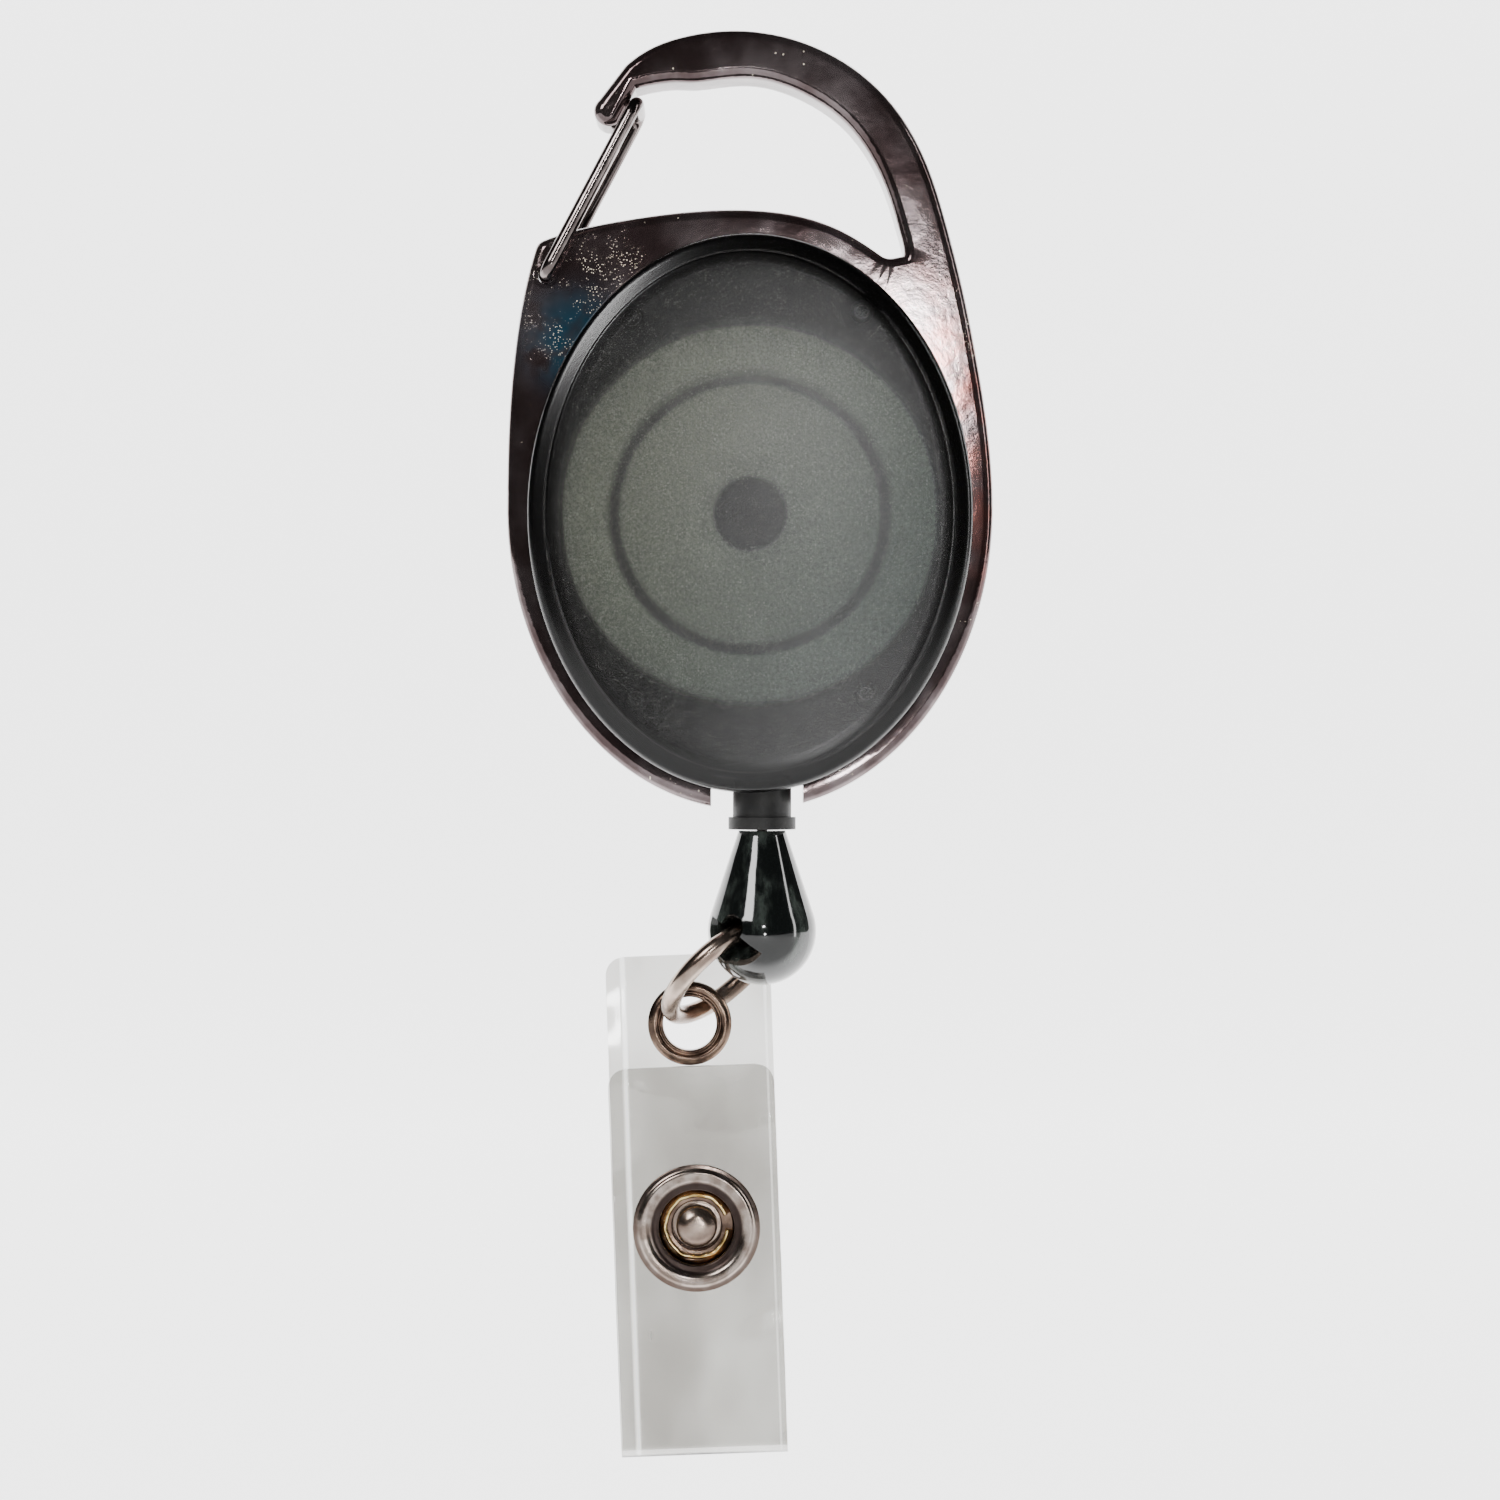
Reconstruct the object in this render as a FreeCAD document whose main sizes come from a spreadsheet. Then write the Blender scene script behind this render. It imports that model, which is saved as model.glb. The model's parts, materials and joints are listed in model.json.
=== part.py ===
"""Retractable badge reel on a carabiner frame, with a wire gate, a bead, a ring and a snap strap.

Millimetres. +Z is up as the reel hangs, the front faces -Y. The origin is the inner crown of the
hook, where a belt loop bears. Round the reel, sizes are counted from the spool's axis; the strap's
are counted from its eyelet.
"""
import FreeCAD, Part
import math
import os
import re
import Sketcher
from FreeCAD import Placement, Rotation, Vector

SIZES = {
    # casting
    "frame_half_width": (19.0, "spool axis to the frame's widest side"),
    "frame_lift": (0.5, "frame oval's centre above the spool axis"),
    "frame_depth": (4.6, "casting, front face to back face"),
    "frame_edge": (0.8, "rounding of the casting's outer edges"),
    "hook_over": (14.3, "top of the hook above the frame's oval"),
    "hook_band": (3.7, "width of the hook's band"),
    "crown_shift": (0.4, "hook crown left of the spool axis"),
    "nose_inset": (6.8, "nose's tip inside the frame's widest side"),
    "nose_over": (8.0, "nose's tip above the frame's oval"),
    "brow_back": (7.076, "nose's tip to where the hook starts to fall, sideways"),
    "shoulder_back": (2.44, "nose's tip to the hook's shoulder, sideways"),
    "notch_back": (3.294, "nose's tip to the notch under it, sideways"),
    "nose_radius": (1.15, "rounding of the nose's tip"),
    "ear_round": (1.0, "rounding of the ear's corner in the front view"),
    "sill_round": (1.2, "rounding of the opening's lower corner in the front view"),
    "seat_radius": (1.0, "seat sunk round the pivot hole"),
    "seat_depth": (0.4, "depth of that seat"),
    "ear_inset": (2.4, "ear's corner inside the frame's widest side"),
    "ear_under": (2.3, "ear's corner below the top of the frame's oval"),
    "gap_left": (3.05, "casting's bottom gap, left of the spool axis"),
    "gap_right": (4.15, "casting's bottom gap, right of the spool axis"),
    # covers
    "rim_width": (1.7, "casting's rim outside the covers, at the side"),
    "rim_height": (1.9, "casting's rim outside the covers, at the bottom"),
    "oval_rise": (4.4, "cover's half height over its half width"),
    "seam_gap": (0.1, "gap between a cover and the casting"),
    "cover_wall": (1.1, "wall of both covers"),
    "web_depth": (1.8, "web that the covers clamp"),
    "front_depth": (5.4, "mid plane to the front of the dome"),
    "back_depth": (4.4, "mid plane to the flat back"),
    "dome_round": (2.3, "rounding of the front cover's edge"),
    "back_round": (1.0, "rounding of the back cover's edge"),
    "boss_radius": (0.9, "front cover's bosses"),
    "pin_radius": (0.45, "back cover's pins"),
    "pin_play": (0.03, "pin to boss, on the radius"),
    # spool and spring
    "spool_play": (1.5, "cover's inner side to the spool's flange"),
    "flange_depth": (0.8, "spool flanges"),
    "groove_width": (2.0, "space between the flanges"),
    "winding_space": (3.7, "flange radius outside the cord's core"),
    "cup_wall": (0.8, "spool's core ring"),
    "arbor_radius": (2.8, "fixed post"),
    "arbor_play": (0.08, "post to spool, on the radius"),
    "arbor_slot": (0.7, "slot that takes the spring's inner end"),
    "lid_depth": (0.5, "spring cover and the spool's floor"),
    "spring_tape": (0.14, "mainspring's thickness"),
    "spring_turns": (9.0, "mainspring's turns"),
    # cord
    "cord_radius": (0.4, "cord"),
    "cord_play": (0.16, "cord to its holes, on the radius"),
    "winding_margin": (0.5, "wound cord's top below the flange's edge"),
    "mouth_bend": (3.0, "cord's bend at the nozzle's mouth"),
    "knot_radius": (1.1, "knot at the cord's end"),
    # nozzle
    "nozzle_shift": (0.95, "nozzle right of the spool axis"),
    "nozzle_radius": (2.3, "nozzle's tube"),
    "nozzle_out": (1.95, "nozzle's lip below the covers"),
    "nozzle_in": (2.9, "nozzle's mouth above the covers' lowest point"),
    "collar_radius": (3.0, "nozzle's collar inside the covers"),
    "collar_depth": (0.9, "collar's thickness"),
    "lip_radius": (2.65, "nozzle's lip"),
    "lip_depth": (0.95, "lip's thickness"),
    # bead
    "bead_radius": (4.27, "bead's round part"),
    "bead_neck": (1.85, "bead's top face"),
    "bead_length": (7.9, "bead's top face above the round part's centre"),
    "bead_gap": (0.1, "bead below the lip at rest"),
    "bead_turn": (31.0, "degrees that the bead is turned at rest"),
    # gate
    "gate_wire_radius": (0.55, "gate's wire"),
    "gate_length": (15.2, "pivot to crossbar"),
    "gate_lean": (62.1, "degrees of the closed gate above level"),
    "gate_side_gap": (0.15, "gate's legs off the casting's faces"),
    "gate_bend": (1.1, "bends of the gate's wire"),
    "pivot_inset": (3.06, "gate's pivot inside the frame's widest side"),
    "pivot_under": (4.96, "gate's pivot below the top of the frame's oval"),
    "pivot_play": (0.06, "wire to its hole, on the radius"),
    # ring
    "ring_radius": (5.05, "jump ring's mean radius"),
    "ring_wire": (0.75, "jump ring's wire radius"),
    "ring_lean": (43.6, "degrees that the ring leans at rest"),
    "ring_split": (2.0, "degrees of the ring's open joint"),
    "ring_play": (0.3, "ring to the bead's hole"),
    "ring_side": (0.3, "ring's top left of the bead's centre"),
    "ring_height": (0.4, "ring's top above the bead's centre"),
    "swing_low": (94.0, "degrees that the bead's slot reaches from the ring towards upright and past it"),
    "swing_high": (66.0, "degrees that the bead's slot reaches from the ring away from upright"),
    # strap
    "strap_width": (13.2, "vinyl strap"),
    "strap_sheet": (0.55, "vinyl's thickness"),
    "strap_tilt": (2.1, "degrees that the strap hangs out of plumb"),
    "strap_under": (4.6, "strap's top edge below the ring's height over the eyelet"),
    "strap_below": (34.3, "eyelet to the strap's lowest point"),
    "strap_corner": (1.5, "strap's corners"),
    "strap_behind": (0.758, "strap's rear layer behind the ring's lowest point"),
    "fold_radius": (1.3, "mean radius of the strap's fold"),
    "flap_start": (3.2, "eyelet down to the flap's top edge"),
    # eyelet and snap
    "eyelet_bore": (2.13, "eyelet's hole"),
    "eyelet_wall": (0.3, "eyelet's barrel"),
    "eyelet_rim": (3.35, "eyelet's flange"),
    "eyelet_drop": (0.75, "eyelet's centre below the ring's wire"),
    "metal_sheet": (0.4, "pressed metal of eyelet and snap"),
    "snap_drop": (16.0, "eyelet to snap"),
    "snap_rim": (5.05, "snap's front flange"),
    "snap_window": (3.0, "snap's front opening"),
    "socket_radius": (4.4, "snap's socket"),
    "socket_mouth": (1.95, "socket's hole"),
    "socket_depth": (1.25, "socket behind the flap"),
    "spring_ring": (2.3, "socket spring's mean radius"),
    "spring_ring_wire": (0.2, "socket spring's wire radius"),
    "stud_head": (1.64, "stud's head"),
    "stud_neck": (1.25, "stud's neck"),
    "stud_rim": (3.4, "stud's foot"),
    "post_rim": (3.9, "rivet behind the strap"),
    "post_radius": (0.8, "rivet's post"),
}

# sizes that move with others: the frame carries covers, hook, gate and nozzle; the ring carries the strap
FOLLOWING = {
    "cover_half_height": "(frame_half_width - rim_width + oval_rise)",
    "frame_half_height": "(cover_half_height + rim_height)",
    "hook_rise": "(frame_half_height + hook_over)",
    "nose_reach": "(frame_half_width - nose_inset)",
    "nose_height": "(frame_half_height + nose_over)",
    "ear_reach": "(frame_half_width - ear_inset)",
    "ear_height": "(frame_half_height - ear_under)",
    "pivot_reach": "(frame_half_width - pivot_inset)",
    "pivot_height": "(frame_half_height - pivot_under)",
    "nozzle_top": "(cover_half_height - nozzle_in)",
    "nozzle_reach": "(cover_half_height + nozzle_out)",
    "strap_above": "(2 * ring_radius - strap_under)",
}
# places of the four bosses, sideways and upwards from the spool axis, as shares of the cover's oval
BOSS_PLACES = [(0.5, 0.715), (-0.535, 0.705), (-0.505, -0.66), (0.52, -0.645)]
# casting's sill above the ear, halfway along the gate's foot
SILL_RISE = 1.7
# hook's outer edge from the widest side up to the crown, as shares of frame_half_width, hook_rise
HOOK_SHARES = [(0.94, 0.305), (0.875, 0.471), (0.812, 0.596), (0.703, 0.755), (0.537, 0.876), (0.29, 0.962)]

doc = FreeCAD.newDocument("badge_reel")
sheet = doc.addObject("Spreadsheet::Sheet", "Sizes")
for row, (name, (value, note)) in enumerate(SIZES.items(), 1):
    sheet.set(f"A{row}", note)
    sheet.set(f"B{row}", str(value))
    sheet.setAlias(f"B{row}", name)
doc.recompute()

# sizes that follow from the sheet's
COVER_A = "(frame_half_width - rim_width)"
COVER_B = "cover_half_height"
CAVITY_A = f"({COVER_A} - cover_wall)"
CAVITY_B = f"({COVER_B} - cover_wall)"
FLANGE = f"({CAVITY_A} - spool_play)"
CORE = f"({FLANGE} - winding_space)"
CUP = f"({CORE} - cup_wall)"
SPOOL_HALF = "(groove_width / 2 + flange_depth)"
WINDING = f"({FLANGE} - winding_margin)"
REST_Z = "(nozzle_reach + lip_depth + bead_gap + bead_length)"
LAYER = "(strap_sheet / 2)"
FLAP_Y = "(-2 * fold_radius)"
FLAP_FRONT = f"({FLAP_Y} - {LAYER})"
FLAP_BACK = f"({FLAP_Y} + {LAYER})"
FOLD_Z = f"(-strap_below + fold_radius + {LAYER})"


def spelled(match):
    """One word of a formula: a following size becomes its own formula, a size gets the sheet's name."""
    word = match[0]
    if word in FOLLOWING:
        return formula(FOLLOWING[word])
    return f"Sizes.{word}" if word in SIZES else word


def formula(text):
    """A formula that the sheet understands, down to its own sizes."""
    return re.sub(r"[a-z_]{3,}", spelled, text)


def worth(text):
    """Value of a formula, as a plain number."""
    return float(sheet.evalExpression(formula(str(text))))


def bind(thing, **formulas):
    """Tie properties to formulas; two underscores stand for a dot."""
    for name, text in formulas.items():
        thing.setExpression(name.replace("__", "."), formula(text))


REEL = Placement(Vector(worth("crown_shift"), 0, worth("-(hook_rise - hook_band)")), Rotation())
BEAD = REEL * Placement(Vector(worth("nozzle_shift"), 0, worth(f"-{REST_Z}")),
                        Rotation(Vector(0, 0, 1), worth("-bead_turn")))
RING_TOP = Vector(worth("-ring_side"), 0, worth("ring_height"))
LEAN = math.radians(worth("ring_lean"))
RING_DOWN = Vector(-math.sin(LEAN), 0, -math.cos(LEAN))
RING = BEAD * Placement(RING_TOP + RING_DOWN * worth("ring_radius"),
                        Rotation(Vector(0, 1, 0), worth("90 + ring_lean")))


def eyelet_place():
    """Eyelet's centre: below the ring's wire where the wire crosses the strap's rear layer."""
    low = BEAD.multVec(RING_TOP + RING_DOWN * 2 * worth("ring_radius"))
    back = worth("strap_behind")
    side = back * math.tan(math.radians(worth("bead_turn")))
    place = Vector(low.x + side, low.y + back, low.z - worth("eyelet_drop"))
    return Placement(place, Rotation(Vector(0, 1, 0), worth("-strap_tilt")))


STRAP = eyelet_place()
SNAP = STRAP * Placement(Vector(0, 0, worth("-snap_drop")), Rotation())
FACING = Rotation(Vector(1, 0, 0), 90)
BACKWARDS = Rotation(Vector(1, 0, 0), -90)


def origin_plane(body, role):
    return next(plane for plane in body.Origin.OriginFeatures if plane.Role == role)


def pin_point(sketch, index, corner):
    """Hold the start of a line at a corner's two formulas."""
    for kind, axis, text in (("DistanceX", -2, corner[0]), ("DistanceY", -1, corner[1])):
        if worth(text) == 0:
            sketch.addConstraint(Sketcher.Constraint("PointOnObject", index, 1, axis))
            continue
        held = sketch.addConstraint(Sketcher.Constraint(kind, -1, 1, index, 1, worth(text)))
        sketch.setExpression(f"Constraints[{held}]", formula(text))


def polygon_sketch(body, role, corners):
    """Closed outline of straight lines, every corner tied to the sheet."""
    sketch = body.newObject("Sketcher::SketchObject", f"{body.Name}_outline")
    sketch.AttachmentSupport = (origin_plane(body, role), [""])
    sketch.MapMode = "FlatFace"
    points = [Vector(worth(x), worth(y), 0) for x, y in corners]
    count = len(points)
    for index in range(count):
        sketch.addGeometry(Part.LineSegment(points[index], points[(index + 1) % count]), False)
    for index in range(count):
        sketch.addConstraint(Sketcher.Constraint("Coincident", index, 2, (index + 1) % count, 1))
    for index, corner in enumerate(corners):
        pin_point(sketch, index, corner)
    return sketch


def turned(label, corners, place):
    """Body turned about its Y axis from (radius, depth) corners."""
    body = doc.addObject("PartDesign::Body", label)
    sketch = polygon_sketch(body, "XY_Plane", corners)
    spin = body.newObject("PartDesign::Revolution", f"{label}_turn")
    spin.Profile = sketch
    spin.ReferenceAxis = (sketch, ["V_Axis"])
    spin.Angle = 360
    body.Placement = place
    return body


def oval_block(name, wide, tall, start, depth):
    """Upright oval prism, its first face at the depth start, running back."""
    oval = doc.addObject("Part::Ellipse", f"{name}_oval")
    bind(oval, MajorRadius=tall, MinorRadius=wide)
    oval.Placement = Placement(Vector(0, worth(start), 0), Rotation(Vector(1, 1, 1), 240))
    bind(oval, Placement__Base__y=start)
    block = doc.addObject("Part::Extrusion", name)
    block.Base = oval
    block.DirMode = "Custom"
    block.Dir = Vector(0, 1, 0)
    bind(block, LengthFwd=depth)
    block.Solid = True
    return block


def rod(name, radius, length, base, turn):
    """Cylinder from the place base, running along the turned Z axis."""
    piece = doc.addObject("Part::Cylinder", name)
    bind(piece, Radius=radius, Height=length)
    piece.Placement = Placement(Vector(*(worth(value) for value in base)), turn)
    bind(piece, Placement__Base__x=base[0], Placement__Base__y=base[1], Placement__Base__z=base[2])
    return piece


def rounded(name, block, radius, at_depth):
    """Round the edges of a block that lie in the plane Y = at_depth."""
    doc.recompute()
    level = worth(at_depth)
    picked = []
    for index, edge in enumerate(block.Shape.Edges, 1):
        box = edge.BoundBox
        if abs(box.YMin - level) < 1e-4 and abs(box.YMax - level) < 1e-4:
            picked.append((index, worth(radius), worth(radius)))
    piece = doc.addObject("Part::Fillet", name)
    piece.Base = block
    piece.Edges = picked
    return piece


def joined(name, pieces):
    piece = doc.addObject("Part::MultiFuse", name)
    piece.Shapes = pieces
    return piece


def cut(name, base, tool):
    piece = doc.addObject("Part::Cut", name)
    piece.Base = base
    piece.Tool = tool
    return piece


def sculpted(label, shape, place):
    """Sub-part whose shape is worked out from the sheet."""
    piece = doc.addObject("Part::Feature", label)
    piece.Shape = shape
    piece.Placement = place * shape.Placement
    return piece


def flat(x, z):
    return Vector(x, 0, z)


def spline(points, start, end):
    """Smooth edge through points, with its directions at both ends."""
    curve = Part.BSplineCurve()
    curve.interpolate(Points=points, InitialTangent=start, FinalTangent=end)
    return curve


def in_place(piece, label, place):
    """Name a finished sub-part and move it from its own frame to its place."""
    piece.Label = label
    piece.Placement = place
    return piece


# ---------------------------------------------------------------- carabiner frame
def hook_edges():
    """Outer and inner edge of the hook; the inner one runs one band inside the outer."""
    wide = worth("frame_half_width")
    rise = worth("hook_rise")
    band = worth("hook_band")
    crown = flat(-worth("crown_shift"), rise)
    reach = worth("nose_reach")
    tip = worth("nose_height")
    shoulder = flat(worth("shoulder_back") - reach, rise - 0.75 * band)
    outer_points = [flat(wide, worth("frame_lift"))]
    outer_points += [flat(x * wide, z * rise) for x, z in HOOK_SHARES]
    outer_points += [crown, flat(worth("brow_back") - reach, rise - 0.12 * band), shoulder]
    nose_way = flat(-reach, tip + 1.2) - shoulder
    outer = spline(outer_points, flat(0, 1), nose_way)
    inner_points = []
    for point in outer_points[3:-1]:
        way = outer.tangent(outer.parameter(point))[0]
        inner_points.append(point + flat(-way.z, way.x) * band)
    notch = flat(worth("notch_back") - reach, rise - 1.22 * band)
    inner_points.append(notch)
    return outer, inner_points, shoulder, notch


def sill_corners():
    """Where the sill ends and the hook's inner edge starts, at the opening's lower right."""
    inner_start = hook_edges()[1][0]
    sill_end = inner_start - flat(1.2, 1.6)
    return sill_end, sill_end + flat(1.35, 0.25)


def casting_outline():
    """Closed outline: lower half oval, hook, nose, opening, ear."""
    wide = worth("frame_half_width")
    lift = worth("frame_lift")
    outer, inner_points, shoulder, notch = hook_edges()
    oval = Part.Ellipse(flat(0, lift + worth("frame_half_height")), flat(wide, lift), flat(0, lift))
    left = flat(-wide, lift)
    right = flat(wide, lift)
    start = oval.parameter(left)
    end = oval.parameter(right)
    low = [oval.toShape(start, end), oval.toShape(end, start)]
    lower = min(low, key=lambda edge: edge.BoundBox.ZMin)
    reach = worth("nose_reach")
    tip = worth("nose_height")
    radius = worth("nose_radius")
    down = flat(-reach + radius, tip) - notch
    down.normalize()
    across = flat(down.z, -down.x)
    tip_centre = flat(-reach + radius, tip)
    under = tip_centre - across * radius
    over = tip_centre + across * radius
    front = tip_centre + down * radius
    ear = flat(-worth("ear_reach"), worth("ear_height"))
    sill_end, hook_start = sill_corners()
    rise = lift + worth("frame_half_height")
    sill_points = [ear, flat(-0.62 * worth("ear_reach"), ear.z + SILL_RISE), flat(-0.8, rise - 0.2),
                   flat(0.37 * wide, lift + 0.925 * worth("frame_half_height")), sill_end]
    sill = spline(sill_points, flat(1, 0.45), flat(1, -0.75))
    side = spline([left, flat(-0.965 * wide, 0.62 * ear.z), ear], flat(0, 1), flat(0.35, 1))
    inner = spline([hook_start] + inner_points, flat(0.3, 1), flat(-1, -0.25))
    edges = [lower, outer.toShape(), Part.LineSegment(shoulder, over).toShape(),
             Part.Arc(over, front, under).toShape(), Part.LineSegment(under, notch).toShape(),
             inner.toShape(), Part.LineSegment(sill_end, hook_start).toShape(),
             sill.toShape(), side.toShape()]
    return Part.Wire(Part.__sortEdges__(edges))


def casting():
    depth = worth("frame_depth")
    plate = Part.Face(casting_outline()).extrude(Vector(0, depth, 0))
    plate.translate(Vector(0, -depth / 2, 0))
    return plate


def upright_edges(shape, *spots):
    """Edges that run straight through the casting, nearest to each spot in the front view."""
    through = [edge for edge in shape.Edges if edge.BoundBox.YLength > worth("frame_depth") - 0.01]
    return [min(through, key=lambda edge: (edge.BoundBox.Center - spot).Length) for spot in spots]


def carabiner_frame():
    """Casting with rounded edges, the covers' opening with its web, the bottom gap and the pivot hole."""
    depth = worth("frame_depth")
    front = worth("-frame_depth / 2")
    plate = casting()
    ear = flat(-worth("ear_reach"), worth("ear_height"))
    low_corner = sill_corners()[0]
    plate = plate.makeFillet(worth("ear_round"), upright_edges(plate, ear))
    plate = plate.makeFillet(worth("sill_round"), upright_edges(plate, low_corner))
    faces = [edge for edge in plate.Edges if edge.BoundBox.YLength < 1e-4]
    plate = plate.makeFillet(worth("frame_edge"), faces)
    wide = worth(f"{COVER_A} + seam_gap")
    tall = worth(f"{COVER_B} + seam_gap")
    opening = oval_solid(wide, tall, front - 1, depth + 2)
    web = oval_solid(wide + 0.2, tall + 0.2, worth("-web_depth / 2"), worth("web_depth"))
    web = web.cut(oval_solid(worth(CAVITY_A), worth(CAVITY_B), -depth, 2 * depth))
    gap = Part.makeBox(worth("gap_left + gap_right"), 2 * depth, tall,
                       Vector(-worth("gap_left"), -depth, -1.3 * tall))
    pivot = Vector(-worth("pivot_reach"), -depth, worth("pivot_height"))
    back = Vector(0, 1, 0)
    hole = Part.makeCylinder(worth("gate_wire_radius + pivot_play"), 2 * depth, pivot, back)
    seat = worth("seat_radius")
    sunk = worth("seat_depth")
    behind = pivot + back * (1.5 * depth - sunk)
    seats = [Part.makeCylinder(seat, depth / 2 + sunk, pivot, back),
             Part.makeCylinder(seat, depth, behind, back)]
    return plate.cut(opening).fuse(web).cut([gap, hole] + seats).removeSplitter()


def oval_solid(wide, tall, start, depth):
    """Plain oval prism between two depths."""
    oval = Part.Ellipse(Vector(0, start, tall), Vector(wide, start, 0), Vector(0, start, 0))
    return Part.Face(Part.Wire(oval.toShape())).extrude(Vector(0, depth, 0))


sculpted("carabiner_frame", carabiner_frame(), REEL)


# ---------------------------------------------------------------- gate
def bent_wire(points, bend, radius):
    """Round wire along straight runs joined by tangent arcs."""
    edges = []
    start = points[0]
    for before, corner, after in zip(points, points[1:], points[2:]):
        come = (corner - before).normalize()
        leave = (after - corner).normalize()
        half = come.getAngle(leave) / 2
        inset = bend * math.tan(half)
        first = corner - come * inset
        last = corner + leave * inset
        middle = corner + (leave - come).normalize() * (bend / math.cos(half) - bend)
        edges.append(Part.LineSegment(start, first).toShape())
        edges.append(Part.Arc(first, middle, last).toShape())
        start = last
    edges.append(Part.LineSegment(start, points[-1]).toShape())
    path = Part.Wire(edges)
    ring = Part.Wire(Part.Circle(points[0], points[1] - points[0], radius).toShape())
    return path.makePipeShell([ring], True, False)


def gate_wire():
    """Both legs, the crossbar under the nose and the two pivot ends, in one bent wire."""
    lean = math.radians(worth("gate_lean"))
    tip = flat(math.cos(lean), math.sin(lean)) * worth("gate_length")
    side = Vector(0, worth("frame_depth / 2 + gate_side_gap + gate_wire_radius"), 0)
    inner = Vector(0, 1.0, 0)
    return bent_wire([-inner, -side, tip - side, tip + side, side, inner],
                     worth("gate_bend"), worth("gate_wire_radius"))


GATE = REEL * Placement(Vector(worth("-pivot_reach"), 0, worth("pivot_height")), Rotation())
sculpted("gate_wire", gate_wire(), GATE)


# ---------------------------------------------------------------- covers
def boss_rods(name, radius, start, length):
    """One rod at each boss place, running back from the depth start."""
    rods = []
    for number, (side, up) in enumerate(BOSS_PLACES, 1):
        place = (f"{side} * {COVER_A}", start, f"{up} * {COVER_B}")
        rods.append(rod(f"{name}_{number}", radius, length, place, BACKWARDS))
    return joined(name, rods)


def nozzle_way(name, radius):
    """Round way for the nozzle through a cover's bottom wall."""
    return rod(name, radius, COVER_B, ("nozzle_shift", "0", f"-{COVER_B} - 3"), Rotation())


def front_cover():
    """Frosted dome with four hollow bosses and half of the nozzle's way."""
    start = "-web_depth / 2 - 0.05"
    outside = oval_block("dome", COVER_A, COVER_B, "-front_depth", f"front_depth + {start}")
    outside = rounded("dome_rounded", outside, "dome_round", "-front_depth")
    inside_start = "-front_depth + cover_wall"
    inside = oval_block("dome_space", CAVITY_A, CAVITY_B, inside_start, "front_depth")
    inside = rounded("dome_space_rounded", inside, "dome_round - cover_wall", inside_start)
    shell = cut("dome_shell", outside, inside)
    length = "front_depth - cover_wall / 2 - 0.1"
    bosses = boss_rods("bosses", "boss_radius", "-front_depth + cover_wall / 2", length)
    solid = joined("dome_with_bosses", [shell, bosses])
    holes = boss_rods("boss_holes", "pin_radius + pin_play", "-front_depth + cover_wall + 0.5", "front_depth")
    cleared = cut("dome_with_holes", solid, holes)
    return cut("front_cover", cleared, nozzle_way("front_way", "nozzle_radius + 0.05"))


def back_cover():
    """Flat back with four pins, a hole for the post and half of the nozzle's way."""
    start = "web_depth / 2 + 0.05"
    outside = oval_block("back", COVER_A, COVER_B, start, f"back_depth - ({start})")
    outside = rounded("back_rounded", outside, "back_round", "back_depth")
    inside = oval_block("back_space", CAVITY_A, CAVITY_B, "0", "back_depth - cover_wall")
    shell = cut("back_shell", outside, inside)
    length = "front_depth + back_depth - 1.5 * cover_wall - 0.8"
    pins = boss_rods("pins", "pin_radius", "-front_depth + cover_wall + 0.8", length)
    solid = joined("back_with_pins", [shell, pins])
    hole = rod("post_hole", "arbor_radius - 0.8", "2 * back_depth", ("0", "0", "0"), BACKWARDS)
    cleared = cut("back_with_hole", solid, hole)
    return cut("back_cover", cleared, nozzle_way("back_way", "nozzle_radius + 0.05"))


in_place(front_cover(), "front_cover", REEL)
in_place(back_cover(), "back_cover", REEL)

# ---------------------------------------------------------------- nozzle, post, spool, spring
NOZZLE = REEL * Placement(Vector(worth("nozzle_shift"), 0, worth("-nozzle_top")), BACKWARDS)
BORE = "(cord_radius + cord_play)"
TUBE = "(nozzle_reach - nozzle_top)"
# turned about the way of the cord: depth runs down from the mouth
turned("cord_nozzle", [
    (f"{BORE} + 1.2", "0"), ("collar_radius", "0"), ("collar_radius", "collar_depth"),
    ("nozzle_radius", "collar_depth"), ("nozzle_radius", TUBE), ("lip_radius", TUBE),
    ("lip_radius", f"{TUBE} + lip_depth"), (BORE, f"{TUBE} + lip_depth"), (BORE, "2.2")], NOZZLE)

POST_FRONT = f"-({SPOOL_HALF} + 0.4)"
POST_BACK = "(back_depth - 0.4)"
POST_AT = ("0", POST_FRONT, "0")
post = rod("post_turned", "arbor_radius", f"back_depth - cover_wall - ({POST_FRONT})", POST_AT, BACKWARDS)
post_foot = rod("post_foot", "arbor_radius - 0.83", f"{POST_BACK} - ({POST_FRONT})", POST_AT, BACKWARDS)
slot = doc.addObject("Part::Box", "post_slot")
bind(slot, Length="2 * arbor_radius", Width=f"2 * {SPOOL_HALF}", Height="arbor_slot")
bind(slot, Placement__Base__x="0", Placement__Base__y=f"-{SPOOL_HALF}", Placement__Base__z="-arbor_slot / 2")
in_place(cut("arbor_post", joined("post_blank", [post, post_foot]), slot), "arbor_post", REEL)

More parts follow.
